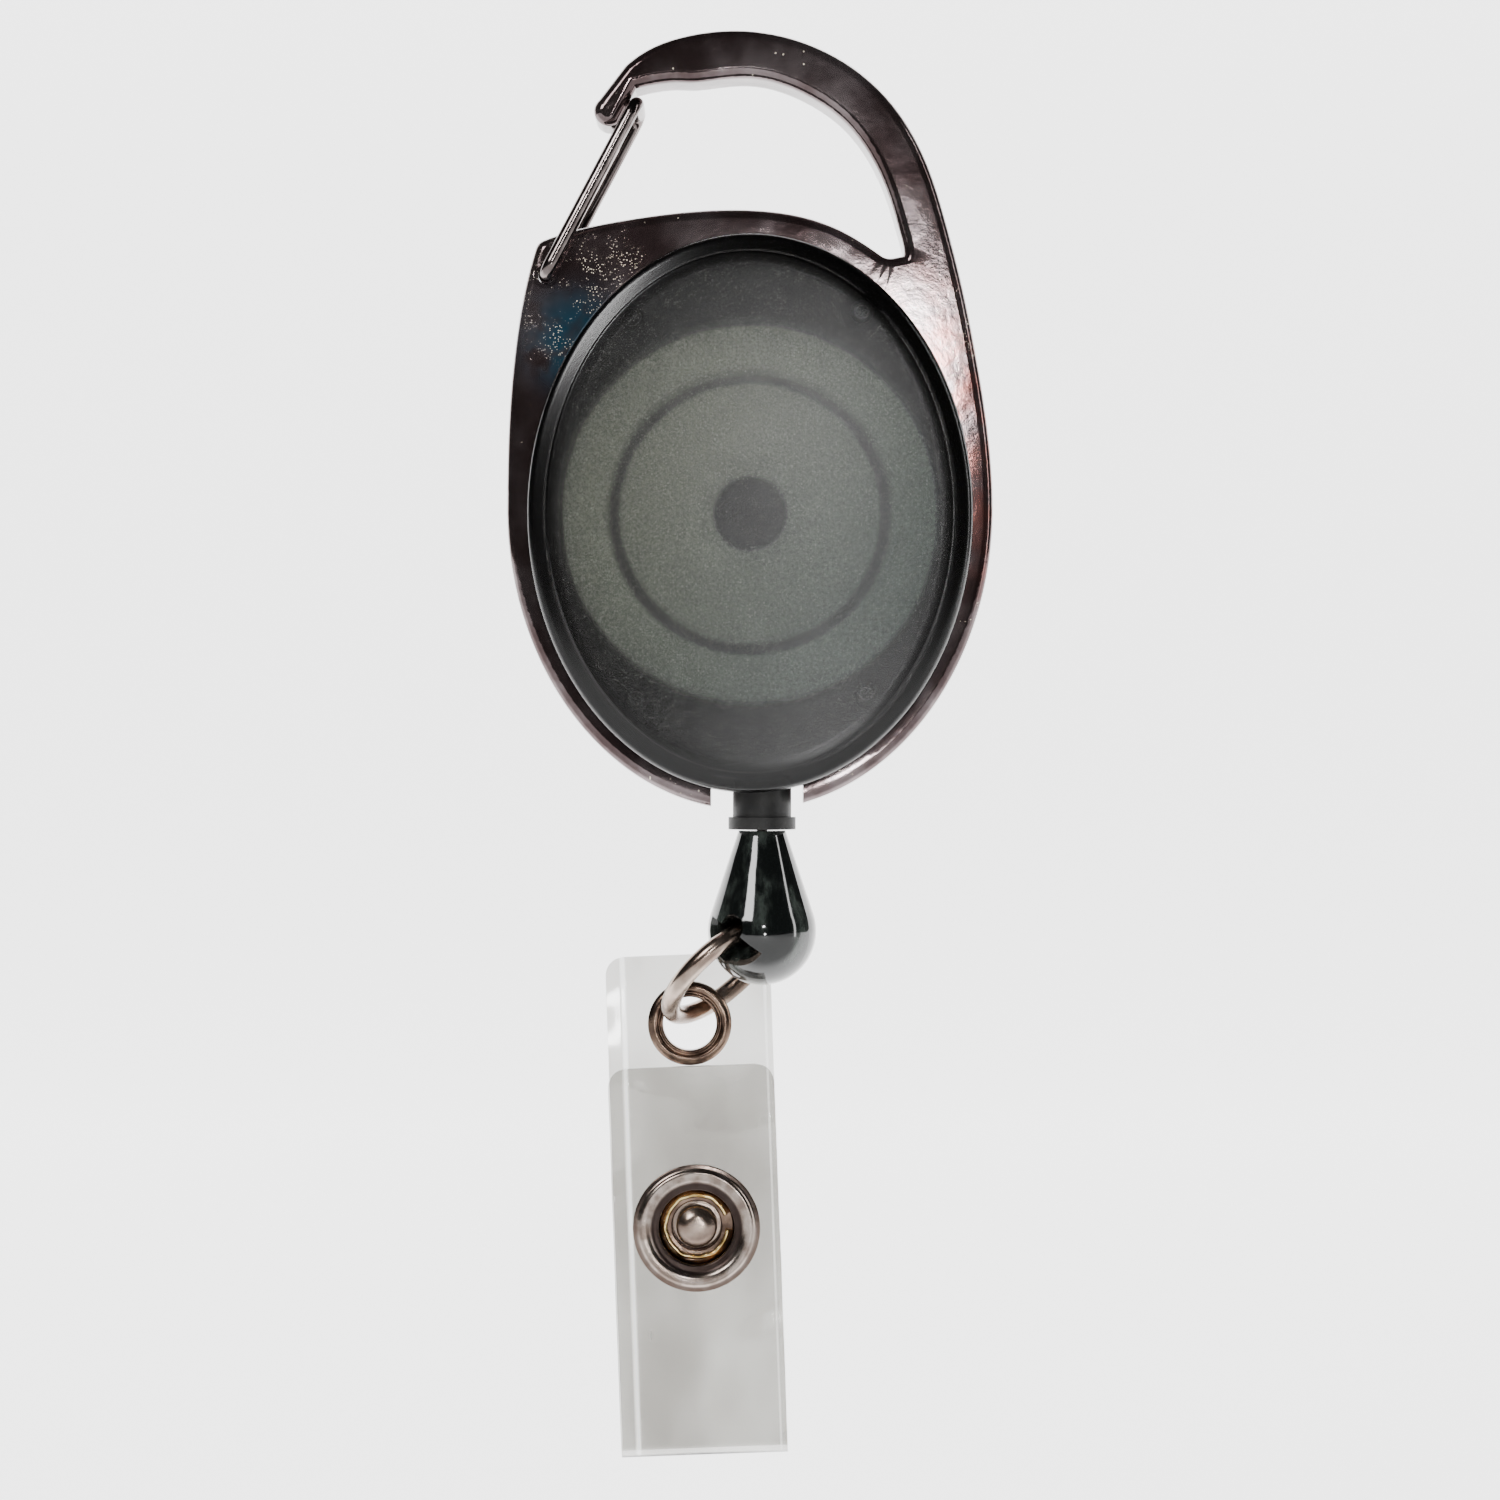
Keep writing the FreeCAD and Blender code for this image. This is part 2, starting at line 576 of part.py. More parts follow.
BORE_SPOOL = "(arbor_radius + arbor_play)"
turned("spool", [
    (BORE_SPOOL, f"{SPOOL_HALF} - lid_depth"), (CUP, f"{SPOOL_HALF} - lid_depth"),
    (CUP, f"-{SPOOL_HALF} + 0.2"), (CORE, f"-{SPOOL_HALF} + 0.2"), (CORE, f"-{SPOOL_HALF}"),
    (FLANGE, f"-{SPOOL_HALF}"), (FLANGE, "-groove_width / 2"), (CORE, "-groove_width / 2"),
    (CORE, "groove_width / 2"), (FLANGE, "groove_width / 2"), (FLANGE, SPOOL_HALF),
    (BORE_SPOOL, SPOOL_HALF)], REEL)
LID_FRONT = f"(-{SPOOL_HALF} - 0.1)"
LID_EDGE = f"({CUP} - 0.05)"
turned("spring_cover", [
    (BORE_SPOOL, LID_FRONT), (LID_EDGE, LID_FRONT),
    (LID_EDGE, f"{LID_FRONT} + lid_depth"), (BORE_SPOOL, f"{LID_FRONT} + lid_depth")], REEL)
turned("cord_winding", [
    (f"{CORE} + 0.02", "-groove_width / 2 + 0.05"), (WINDING, "-groove_width / 2 + 0.05"),
    (WINDING, "groove_width / 2 - 0.05"), (f"{CORE} + 0.02", "groove_width / 2 - 0.05")], REEL)


def mainspring():
    """Flat spiral strip from the post's slot to the cup's wall."""
    turns = worth("spring_turns")
    inner = worth("arbor_radius + 0.15")
    outer = worth(f"{CUP} - 0.05 - spring_tape")
    steps = int(turns * 12)
    strip = worth("spring_tape")

    def rim(extra):
        points = []
        for step in range(steps + 1):
            angle = 2 * math.pi * turns * step / steps
            radius = inner + (outer - inner) * step / steps + extra
            points.append(Vector(radius * math.cos(angle), 0, radius * math.sin(angle)))
        curve = Part.BSplineCurve()
        curve.interpolate(points)
        return curve.toShape(), points[0], points[-1]

    low, low_start, low_end = rim(0)
    high, high_start, high_end = rim(strip)
    ends = [Part.LineSegment(low_start, high_start), Part.LineSegment(low_end, high_end)]
    face = Part.Face(Part.Wire(Part.__sortEdges__([low, high] + [end.toShape() for end in ends])))
    tape_half = worth(f"{SPOOL_HALF} - lid_depth - 0.2")
    face.translate(Vector(0, -tape_half, 0))
    coil = face.extrude(Vector(0, 2 * tape_half, 0))
    hook = Part.makeBox(worth("arbor_radius + 0.2"), 2 * tape_half, strip, Vector(0.05, -tape_half, 0))
    return coil.fuse(hook).removeSplitter()


sculpted("mainspring", mainspring(), REEL)

# ---------------------------------------------------------------- cord
KNOT_DROP = "(bead_length - 2.9)"


def cord_lead():
    """Cord from the winding's outside, over the nozzle's mouth and straight down to the knot."""
    away = worth(f"{WINDING} + cord_radius + 0.03")
    mouth = flat(worth("nozzle_shift"), worth("-nozzle_top + 0.8"))
    reach = mouth.Length
    turn = math.acos(away / reach) + math.atan2(mouth.z, mouth.x)
    start = flat(away * math.cos(turn), away * math.sin(turn))
    knot = flat(worth("nozzle_shift"), worth(f"-{REST_Z} + {KNOT_DROP} + knot_radius - 0.02"))
    return bent_wire([start, mouth, knot], worth("mouth_bend"), worth("cord_radius"))


sculpted("cord_lead", cord_lead(), REEL)
knot = doc.addObject("Part::Sphere", "cord_knot")
bind(knot, Radius="knot_radius")
knot.Placement = BEAD * Placement(Vector(0, 0, worth(KNOT_DROP)), Rotation())


# ---------------------------------------------------------------- bead
def bead_blank():
    """Round part with a tangent cone up to the neck, turned about the cord."""
    radius = worth("bead_radius")
    neck = worth("bead_neck")
    rise = worth("bead_length")
    lean = math.atan2(rise, neck) - math.acos(radius / math.hypot(rise, neck))
    touch = flat(radius * math.cos(lean), radius * math.sin(lean))
    side = math.radians(-40)
    arc = Part.Arc(flat(0, -radius), flat(radius * math.cos(side), radius * math.sin(side)), touch)
    lines = [Part.LineSegment(touch, flat(neck, rise)), Part.LineSegment(flat(neck, rise), flat(0, rise)),
             Part.LineSegment(flat(0, rise), flat(0, -radius))]
    outline = Part.Face(Part.Wire([arc.toShape()] + [line.toShape() for line in lines]))
    return outline.revolve(Vector(0, 0, 0), Vector(0, 0, 1), 360)


def ring_hole():
    """Flared slot: what the ring's band sweeps as it swings about its own top."""
    play = worth("ring_play")
    wire = worth("ring_wire")
    mean = worth("ring_radius")
    reach = mean - wire - play
    far = 1.6 * worth("bead_radius")
    side = 0.93 * reach
    low = math.sqrt(reach * reach - side * side)
    outline = [Vector(0, -far, 0), Vector(0, -far, -mean + low), Vector(0, -side, -mean + low)]
    edges = [Part.LineSegment(a, b).toShape() for a, b in zip(outline, outline[1:])]
    edges.append(Part.Arc(outline[-1], Vector(0, 0, -mean + reach), Vector(0, side, -mean + low)).toShape())
    back = [Vector(0, side, -mean + low), Vector(0, far, -mean + low), Vector(0, far, 0), outline[0]]
    edges += [Part.LineSegment(a, b).toShape() for a, b in zip(back, back[1:])]
    fan = Part.Face(Part.Wire(edges))
    fan.rotate(Vector(0, 0, 0), Vector(0, 1, 0), worth("ring_lean + swing_high"))
    sweep = fan.revolve(Vector(0, 0, 0), Vector(0, 1, 0), worth("-(swing_low + swing_high)"))
    core = Part.makeCylinder(wire + play, 2 * far, Vector(0, -far, 0), Vector(0, 1, 0))
    hole = sweep.fuse(core)
    hole.translate(RING_TOP)
    return hole


def bead_half(sign):
    """Half of the bead on one side of the parting plane, with its room for cord and knot."""
    size = 4 * worth("bead_length")
    keep = Part.makeBox(size, size, size, Vector(-size / 2, 0 if sign > 0 else -size, -size / 2))
    knot_room = Part.makeSphere(worth("knot_radius + cord_play"), Vector(0, 0, worth(KNOT_DROP)))
    cord_room = Part.makeCylinder(worth(BORE), worth("bead_length"), Vector(0, 0, worth(KNOT_DROP)))
    return bead_blank().cut([knot_room, cord_room, ring_hole()]).common(keep)


sculpted("bead_front_half", bead_half(-1), BEAD)
sculpted("bead_back_half", bead_half(1), BEAD)

# ---------------------------------------------------------------- ring
ring = doc.addObject("Part::Torus", "jump_ring")
bind(ring, Radius1="ring_radius", Radius2="ring_wire", Angle3="360 - ring_split")
ring.Placement = RING * Placement(Vector(), Rotation(Vector(0, 0, 1), -65))


# ---------------------------------------------------------------- strap
def layer(label, depth, top, bottom, hole_drop, hole_radius):
    """One vinyl layer with two round corners at its top and the holes that it needs."""
    sheet_thick = worth("strap_sheet")
    wide = worth("strap_width")
    low = Vector(-wide / 2, depth - sheet_thick / 2, bottom)
    plate = Part.makeBox(wide, sheet_thick, top - bottom, low)
    upper = [edge for edge in plate.Edges if edge.BoundBox.ZMin > top - 1e-4]
    corners = [edge for edge in upper if edge.BoundBox.XLength < 1e-4]
    plate = plate.makeFillet(worth("strap_corner"), corners)
    holes = []
    for drop, radius in zip(hole_drop, hole_radius):
        middle = Vector(0, depth - 2 * sheet_thick, -drop)
        holes.append(Part.makeCylinder(radius, 4 * sheet_thick, middle, Vector(0, 1, 0)))
    return sculpted(label, plate.cut(holes), STRAP)


layer("strap_back", 0, worth("strap_above"), worth(FOLD_Z), [0, worth("snap_drop")],
      [worth("eyelet_bore + eyelet_wall"), worth("post_radius")])
layer("strap_flap", worth(FLAP_Y), worth("-flap_start"), worth(FOLD_Z), [worth("snap_drop")],
      [worth("snap_window + eyelet_wall")])


def strap_fold():
    """Half tube that joins the two layers."""
    middle = Vector(worth("-strap_width / 2"), worth("-fold_radius"), worth(FOLD_Z))
    wide = worth("strap_width")
    along = Vector(1, 0, 0)
    outside = Part.makeCylinder(worth(f"fold_radius + {LAYER}"), wide, middle, along)
    inside = Part.makeCylinder(worth(f"fold_radius - {LAYER}"), wide, middle, along)
    size = 2 * worth("strap_below")
    below = Part.makeBox(size, size, size, Vector(-size / 2, -size / 2, worth(FOLD_Z) - size))
    return outside.cut(inside).common(below)


sculpted("strap_fold", strap_fold(), STRAP)

# eyelet, turned about the strap's thickness: depth runs back through the rear layer
BARREL = "(eyelet_bore + eyelet_wall)"
WASHER_BACK = f"({LAYER} + 0.75 * metal_sheet)"
turned("eyelet_barrel", [
    ("eyelet_bore", f"-{LAYER} - metal_sheet"), ("eyelet_rim", f"-{LAYER} - metal_sheet"),
    ("eyelet_rim", f"-{LAYER}"), (BARREL, f"-{LAYER}"), (BARREL, WASHER_BACK),
    ("eyelet_bore", WASHER_BACK)], STRAP)
turned("eyelet_washer", [
    (BARREL, LAYER), ("eyelet_rim", LAYER), ("eyelet_rim", WASHER_BACK), (BARREL, WASHER_BACK)], STRAP)

# snap, turned about the strap's thickness
turned("snap_cap", [
    ("snap_window", f"{FLAP_FRONT} - metal_sheet"), ("snap_rim", f"{FLAP_FRONT} - metal_sheet"),
    ("snap_rim", FLAP_FRONT), ("snap_window + eyelet_wall", FLAP_FRONT),
    ("snap_window + eyelet_wall", FLAP_BACK), ("snap_window", FLAP_BACK)], SNAP)
SOCKET_END = f"({FLAP_BACK} + socket_depth)"
SOCKET_FLOOR = f"({SOCKET_END} - metal_sheet)"
turned("snap_socket", [
    ("snap_window", FLAP_BACK), ("socket_radius", FLAP_BACK), ("socket_radius", SOCKET_END),
    ("socket_mouth", SOCKET_END), ("socket_mouth", SOCKET_FLOOR), ("snap_window", SOCKET_FLOOR)], SNAP)
spring_ring = doc.addObject("Part::Torus", "socket_spring")
bind(spring_ring, Radius1="spring_ring", Radius2="spring_ring_wire", Angle3="330")
spring_depth = worth(f"{SOCKET_FLOOR} - spring_ring_wire - 0.02")
spring_ring.Placement = SNAP * Placement(Vector(0, spring_depth, 0), FACING)
HEAD_FRONT = f"({FLAP_FRONT} + 0.1)"
POST_END = f"({SOCKET_FLOOR} - 0.4)"
turned("snap_stud", [
    ("post_radius", f"-{LAYER}"), ("stud_rim", f"-{LAYER}"), ("stud_rim", f"-{LAYER} - metal_sheet"),
    ("stud_neck", f"-{LAYER} - metal_sheet"), ("stud_neck", f"{SOCKET_FLOOR} - 0.15"),
    ("stud_head", f"{SOCKET_FLOOR} - 0.35"), ("stud_head", f"{HEAD_FRONT} + 0.35"),
    ("0.7 * stud_head", HEAD_FRONT), ("0", HEAD_FRONT), ("0", POST_END),
    ("post_radius", POST_END)], SNAP)
turned("stud_post", [
    ("0", f"{LAYER} + metal_sheet"), ("post_rim", f"{LAYER} + metal_sheet"), ("post_rim", LAYER),
    ("post_radius", LAYER), ("post_radius", POST_END),
    ("0", POST_END)], SNAP)

# ---------------------------------------------------------------- checks and export
doc.recompute()
NODES = ["carabiner_frame", "gate_wire", "front_cover", "back_cover", "cord_nozzle", "arbor_post", "spool",
         "spring_cover", "cord_winding", "mainspring", "cord_lead", "cord_knot", "bead_front_half",
         "bead_back_half", "jump_ring", "strap_back", "strap_fold", "strap_flap", "eyelet_barrel",
         "eyelet_washer", "snap_cap", "snap_socket", "socket_spring", "snap_stud", "stud_post"]
for thing in doc.Objects:
    if "Invalid" in thing.State or "Error" in thing.State:
        raise RuntimeError(f"{thing.Label} failed: {thing.State}")
finished = [next(thing for thing in doc.Objects if thing.Label == node) for node in NODES]
for thing in finished:
    if thing.Shape.isNull() or not thing.Shape.isValid() or len(thing.Shape.Solids) != 1:
        raise RuntimeError(f"{thing.Label} is not one valid solid")
os.makedirs("parts", exist_ok=True)
for thing in finished:
    thing.Shape.exportStep(f"parts/{thing.Label}.step")
    box = thing.Shape.BoundBox
    print(f"{thing.Label:18} {thing.Shape.Volume:9.2f} mm3  x {box.XMin:.1f}..{box.XMax:.1f}"
          f"  y {box.YMin:.1f}..{box.YMax:.1f}  z {box.ZMin:.1f}..{box.ZMax:.1f}")
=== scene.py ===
"""Looks of a retractable badge reel: smoked chrome, frosted cover, teardrop bead and snap strap.

Everything is in metres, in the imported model's own frame: +Z up, the front faces -Y.
"""
import json
import math
import bmesh
import bpy
import numpy as np
from mathutils import Matrix, Vector

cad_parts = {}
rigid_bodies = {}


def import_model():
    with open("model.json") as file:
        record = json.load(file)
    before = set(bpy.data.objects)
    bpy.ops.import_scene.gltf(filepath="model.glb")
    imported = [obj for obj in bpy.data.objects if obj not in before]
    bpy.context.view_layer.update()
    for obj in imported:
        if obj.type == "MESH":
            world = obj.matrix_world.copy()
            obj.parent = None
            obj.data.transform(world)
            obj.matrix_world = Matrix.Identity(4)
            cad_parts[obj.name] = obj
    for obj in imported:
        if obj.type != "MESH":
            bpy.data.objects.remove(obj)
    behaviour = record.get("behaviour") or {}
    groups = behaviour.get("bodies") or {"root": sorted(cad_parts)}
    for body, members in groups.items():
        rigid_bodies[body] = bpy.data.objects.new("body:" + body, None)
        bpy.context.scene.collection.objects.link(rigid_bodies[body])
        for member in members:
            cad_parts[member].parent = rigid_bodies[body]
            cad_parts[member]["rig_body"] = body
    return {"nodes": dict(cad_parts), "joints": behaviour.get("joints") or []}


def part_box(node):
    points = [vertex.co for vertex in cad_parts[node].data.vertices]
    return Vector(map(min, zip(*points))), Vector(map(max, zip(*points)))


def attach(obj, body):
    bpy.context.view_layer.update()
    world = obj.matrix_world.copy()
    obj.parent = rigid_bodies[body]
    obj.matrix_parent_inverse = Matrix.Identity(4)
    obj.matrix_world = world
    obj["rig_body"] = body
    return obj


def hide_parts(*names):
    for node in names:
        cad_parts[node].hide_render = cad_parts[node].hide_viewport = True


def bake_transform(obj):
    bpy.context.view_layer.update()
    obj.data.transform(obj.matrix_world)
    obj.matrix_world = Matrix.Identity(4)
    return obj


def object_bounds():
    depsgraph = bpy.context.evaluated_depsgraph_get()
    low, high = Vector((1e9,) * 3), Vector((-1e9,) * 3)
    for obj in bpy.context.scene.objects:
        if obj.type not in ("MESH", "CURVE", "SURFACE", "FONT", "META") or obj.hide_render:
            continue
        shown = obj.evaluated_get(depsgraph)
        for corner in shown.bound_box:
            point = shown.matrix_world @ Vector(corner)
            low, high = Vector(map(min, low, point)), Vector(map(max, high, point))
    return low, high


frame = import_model()
CAD_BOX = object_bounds()
MM = 0.001


def middle(node):
    """Middle of a CAD node's box."""
    low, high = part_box(node)
    return (Vector(low) + Vector(high)) / 2


def joint(name):
    """The record's own row for a joint."""
    return next(item for item in frame["joints"] if item["name"] == name)


# ---------------------------------------------------------------- places, all read from the frame
AXIS = middle("spool")
AXIS.y = 0
COVER_LOW, COVER_HIGH = (Vector(corner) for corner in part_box("front_cover"))
OVAL_WIDE = (COVER_HIGH.x - COVER_LOW.x) / 2
OVAL_TALL = (COVER_HIGH.z - COVER_LOW.z) / 2
COVER_FRONT = COVER_LOW.y
WEB_HALF = 0.95 * MM
BEAD_AT = Vector(joint("bead_swivel")["pos_m"])
HOLE_WAY = Vector(joint("ring_swing")["axis"])
BEAD_TURN = Matrix.Rotation(-math.atan2(HOLE_WAY.x, HOLE_WAY.y), 4, "Z")
EYELET_AT = middle("eyelet_washer")
EYELET_AT.y = middle("strap_back").y
SNAP_AT = middle("stud_post")
SNAP_AT.y = EYELET_AT.y
DOWN_STRAP = (SNAP_AT - EYELET_AT).normalized()
STRAP_TILT = math.atan2(DOWN_STRAP.x, -DOWN_STRAP.z)
STRAP = Matrix.Translation(EYELET_AT) @ Matrix.Rotation(-STRAP_TILT, 4, "Y")
SNAP_DROP = (SNAP_AT - EYELET_AT).length
FLAP_Y = middle("strap_flap").y - EYELET_AT.y
FOLD_RADIUS = -FLAP_Y / 2
SHEET = 0.55 * MM
# the strap's bend starts in front of the whole rear layer and ends behind the whole flap
EYELET_HOLE = 2.43
SNAP_HOLE = 3.3
CORD_RADIUS = 0.4 * MM
RING_WIRE = 0.75 * MM
LID_EDGE = 10.55                     # radius of the dark ring that the spring's lid makes, in mm
# the front cover's bosses: place counted from the spool's axis, and how plainly each shows through
BOSSES = [(0.5 * OVAL_WIDE, 0.715 * OVAL_TALL, 0.85),
          (-0.535 * OVAL_WIDE, 0.705 * OVAL_TALL, 0.1),
          (-0.505 * OVAL_WIDE, -0.66 * OVAL_TALL, 0.25),
          (0.52 * OVAL_WIDE, -0.645 * OVAL_TALL, 0.3)]


# ---------------------------------------------------------------- meshes
def solid(name, points, faces, body, replaced=(), slot=None):
    """Mesh piece with smooth sides; it may ride on a body and stand for CAD nodes. Its slot is not used.
    """
    mesh = bpy.data.meshes.new(name)
    mesh.from_pydata(np.asarray(points).tolist(), [], [list(map(int, face)) for face in faces])
    mesh.validate()
    mesh.shade_smooth()
    piece = bpy.data.objects.new(name, mesh)
    bpy.context.scene.collection.objects.link(piece)
    finish_normals(piece)
    if body:
        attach(piece, body)
    if replaced:
        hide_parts(*replaced)
    return piece


def finish_normals(piece, sharp=38):
    """Join doubled points, turn faces outwards and crease every edge that bends past sharp degrees."""
    work = bmesh.new()
    work.from_mesh(piece.data)
    bmesh.ops.remove_doubles(work, verts=work.verts, dist=1e-7)
    bmesh.ops.recalc_face_normals(work, faces=work.faces)
    for edge in work.edges:
        if len(edge.link_faces) == 2:
            edge.smooth = edge.calc_face_angle(0) < math.radians(sharp)
    work.to_mesh(piece.data)
    work.free()


def grid_faces(rows, columns, wrap_rows=False, wrap_columns=True):
    """Quads of a grid of points numbered row by row."""
    row = np.arange(rows if wrap_rows else rows - 1)
    column = np.arange(columns if wrap_columns else columns - 1)
    r, c = np.meshgrid(row, column, indexing="ij")
    here, there = r * columns, (r + 1) % rows * columns
    c2 = (c + 1) % columns
    return np.stack([here + c, here + c2, there + c2, there + c], -1).reshape(-1, 4)


def placed(points, place):
    """Points moved by a 4 by 4 place."""
    turn = np.array(place.to_3x3())
    return np.asarray(points) @ turn.T + np.array(place.translation)


def rounded_profile(corners, steps=5):
    """Closed outline from (x, y, radius) corners.

    A corner is a parabola that starts and ends one radius from it, or nearly half a side if that is
    less; with no radius it is one point.
    """
    points = []
    count = len(corners)
    for index, (x, y, radius) in enumerate(corners):
        here = np.array([x, y])
        before = np.array(corners[index - 1][:2]) - here
        after = np.array(corners[(index + 1) % count][:2]) - here
        if radius == 0:
            points.append(here)
            continue
        before_length, after_length = np.linalg.norm(before), np.linalg.norm(after)
        before, after = before / before_length, after / after_length
        inset = min(radius, 0.49 * before_length, 0.49 * after_length)
        for t in np.linspace(0, 1, steps):
            points.append(here + before * inset * (1 - t) ** 2 + after * inset * t ** 2)
    return np.array(points)


def turned(name, corners, place, body, replaced=(), around=96, steps=5):
    """Closed ring: an outline of (radius, depth, rounding) corners in mm, turned about the Y axis."""
    profile = rounded_profile([(r * MM, y * MM, e * MM) for r, y, e in corners], steps)
    angle = np.linspace(0, 2 * math.pi, around, endpoint=False)
    radius = np.maximum(profile[:, :1], 0)
    depth = np.repeat(profile[:, 1:], around, 1)
    points = np.stack([radius * np.cos(angle), depth, radius * np.sin(angle)], -1).reshape(-1, 3)
    faces = grid_faces(len(profile), around, wrap_rows=True)
    return solid(name, placed(points, place), faces, body, replaced)


def tube(name, path, radius, body, replaced=(), around=20, end_round=0.25):
    """Round bar along a path: a circle carried from point to point by the least turning, ends eased."""
    way = np.gradient(path, axis=0)
    way /= np.linalg.norm(way, axis=1, keepdims=True)
    side = np.cross(way[0], [0.3, 0.5, 0.81])
    side /= np.linalg.norm(side)
    sides = []
    for step in way:
        side = side - step * side.dot(step)
        side /= np.linalg.norm(side)
        sides.append(side)
    sides = np.array(sides)
    others = np.cross(way, sides)
    angle = np.linspace(0, 2 * math.pi, around, endpoint=False)
    circle = np.cos(angle)[:, None] * sides[:, None] + np.sin(angle)[:, None] * others[:, None]
    rings = path[:, None] + radius * circle
    edge = end_round * radius
    start = path[0] + (rings[0] - path[0]) * (1 - end_round) - way[0] * edge
    end = path[-1] + (rings[-1] - path[-1]) * (1 - end_round) + way[-1] * edge
    rings = np.concatenate([start[None], rings, end[None]])
    total = len(rings)
    faces = list(grid_faces(total, around))
    faces.append(range(around))
    faces.append(range((total - 1) * around, total * around))
    return solid(name, rings.reshape(-1, 3), faces, body, replaced)


def bake(piece):
    """Put what the modifiers make into the mesh itself."""
    bpy.context.view_layer.update()
    graph = bpy.context.evaluated_depsgraph_get()
    mesh = bpy.data.meshes.new_from_object(piece.evaluated_get(graph))
    mesh.name = piece.name
    piece.modifiers.clear()
    piece.data = mesh


def merged_copy(node, name, sharp=30):
    """The CAD node's own shape with its triangles joined, so that it shades smoothly."""
    source = frame["nodes"][node]
    piece = bpy.data.objects.new(name, source.data.copy())
    bpy.context.scene.collection.objects.link(piece)
    piece.data.materials.clear()
    piece.data.shade_smooth()
    finish_normals(piece, sharp)
    even = piece.modifiers.new("flat_stays_flat", "WEIGHTED_NORMAL")
    even.keep_sharp = True
    bake(piece)
    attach(piece, source["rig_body"])
    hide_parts(node)
    return piece


# ---------------------------------------------------------------- shader maths
class Wire:
    """A node socket that Python's operators build Math nodes on."""

    def __init__(self, kit, socket):
        self.kit = kit
        self.socket = socket

    def _math(self, operation, *others):
        return self.kit.add("ShaderNodeMath", {"operation": operation}, *others)

    def __add__(self, other):
        return self._math("ADD", self, other)

    def __sub__(self, other):
        return self._math("SUBTRACT", self, other)

    def __mul__(self, other):
        return self._math("MULTIPLY", self, other)

    def __truediv__(self, other):
        return self._math("DIVIDE", self, other)

    def __rsub__(self, other):
        return self._math("SUBTRACT", other, self)

    def __lt__(self, other):
        return self._math("LESS_THAN", self, other)

    __radd__ = __add__
    __rmul__ = __mul__

    def root(self):
        return self._math("SQRT", self)

    def sine(self):
        return self._math("SINE", self)

    def size(self):
        return self._math("ABSOLUTE", self)

    def ramp(self, low, high):
        """0 below low, 1 above high, smooth between; low may be above high."""
        smooth = {"interpolation_type": "SMOOTHSTEP"}
        return self.kit.add("ShaderNodeMapRange", smooth, self, low, high, 0.0, 1.0)

    def output(self, label):
        """Another output of the same node."""
        return Wire(self.kit, self.socket.node.outputs[label])


class Finish:
    """One material: a Principled shader, its plain values, and the nodes that vary some of them."""

    def __init__(self, name, **settings):
        self.material = bpy.data.materials.new(name)
        self.material.use_nodes = True
        self.tree = self.material.node_tree
        self.shader = next(node for node in self.tree.nodes if node.type == "BSDF_PRINCIPLED")
        for label, value in settings.items():
            self.shader.inputs[label.replace("_", " ")].default_value = value
        self.place = None

    def add(self, kind, settings, *inputs, **named):
        """A node of one kind: settings first, then its sockets, by order or by name."""
        node = self.tree.nodes.new(kind)
        for label, value in settings.items():
            setattr(node, label, value)
        pairs = [(node.inputs[index], value) for index, value in enumerate(inputs)]
        pairs += [(node.inputs[label.replace("_", " ")], value) for label, value in named.items()]
        for socket, value in pairs:
            self.feed(socket, value)
        return Wire(self, node.outputs[0])

    def feed(self, socket, value):
        """Link a wire into a socket, or set its value."""
        if isinstance(value, Wire):
            self.tree.links.new(value.socket, socket)
        else:
            socket.default_value = value

    def object_place(self):
        """Object coordinates, in metres."""
        if self.place is None:
            self.place = self.add("ShaderNodeTexCoord", {}).output("Object")
        return self.place

    def along(self, centre=(0, 0, 0)):
        """The three object coordinates, counted from a centre, in millimetres."""
        subtract = {"operation": "SUBTRACT"}
        moved = self.add("ShaderNodeVectorMath", subtract, self.object_place(), tuple(centre))
        scaled = self.add("ShaderNodeVectorMath", {"operation": "SCALE"}, moved, Scale=1000.0)
        split = self.add("ShaderNodeSeparateXYZ", {}, scaled)
        return [split.output(index) for index in range(3)]

    def noise(self, grain_mm, detail=2.0, rough=0.5, stretch=(1, 1, 1)):
        """Cloudy value from 0 to 1 with lumps about grain_mm across."""
        multiply = {"operation": "MULTIPLY"}
        spread = self.add("ShaderNodeVectorMath", multiply, self.object_place(), tuple(stretch))
        return self.add("ShaderNodeTexNoise", {}, Vector=spread, Scale=1000 / grain_mm,
                        Detail=detail, Roughness=rough)

    def specks(self, grain_mm, share):
        """1 in scattered cells grain_mm across, 0 elsewhere; share is how many cells."""
        cells = self.add("ShaderNodeTexVoronoi", {}, Vector=self.object_place(), Scale=1000 / grain_mm)
        chosen = self.add("ShaderNodeSeparateColor", {}, cells.output("Color")) < share
        return chosen * (cells.output("Distance") < 0.35)

    def mix(self, share, first, second):
        """Colour between two colours."""
        mixed = self.add("ShaderNodeMix", {"data_type": "RGBA"}, share)
        for socket, colour in ((6, first), (7, second)):
            value = colour if isinstance(colour, Wire) else (*colour, 1)
            self.feed(mixed.socket.node.inputs[socket], value)
        return mixed.output(2)

    def bump(self, height, depth_mm, strength=1.0):
        """Surface relief from a height of 0 to 1."""
        bumped = self.add("ShaderNodeBump", {}, Strength=strength, Distance=depth_mm * MM,
                          Height=height)
        self.feed(self.shader.inputs["Normal"], bumped)

    def set(self, label, value):
        """Feed one of the shader's own sockets."""
        self.feed(self.shader.inputs[label], value)


def paint(finish, *pieces):
    """Give pieces one material in place of what they had."""
    for piece in pieces:
        piece.data.materials.clear()
        piece.data.materials.append(finish.material)


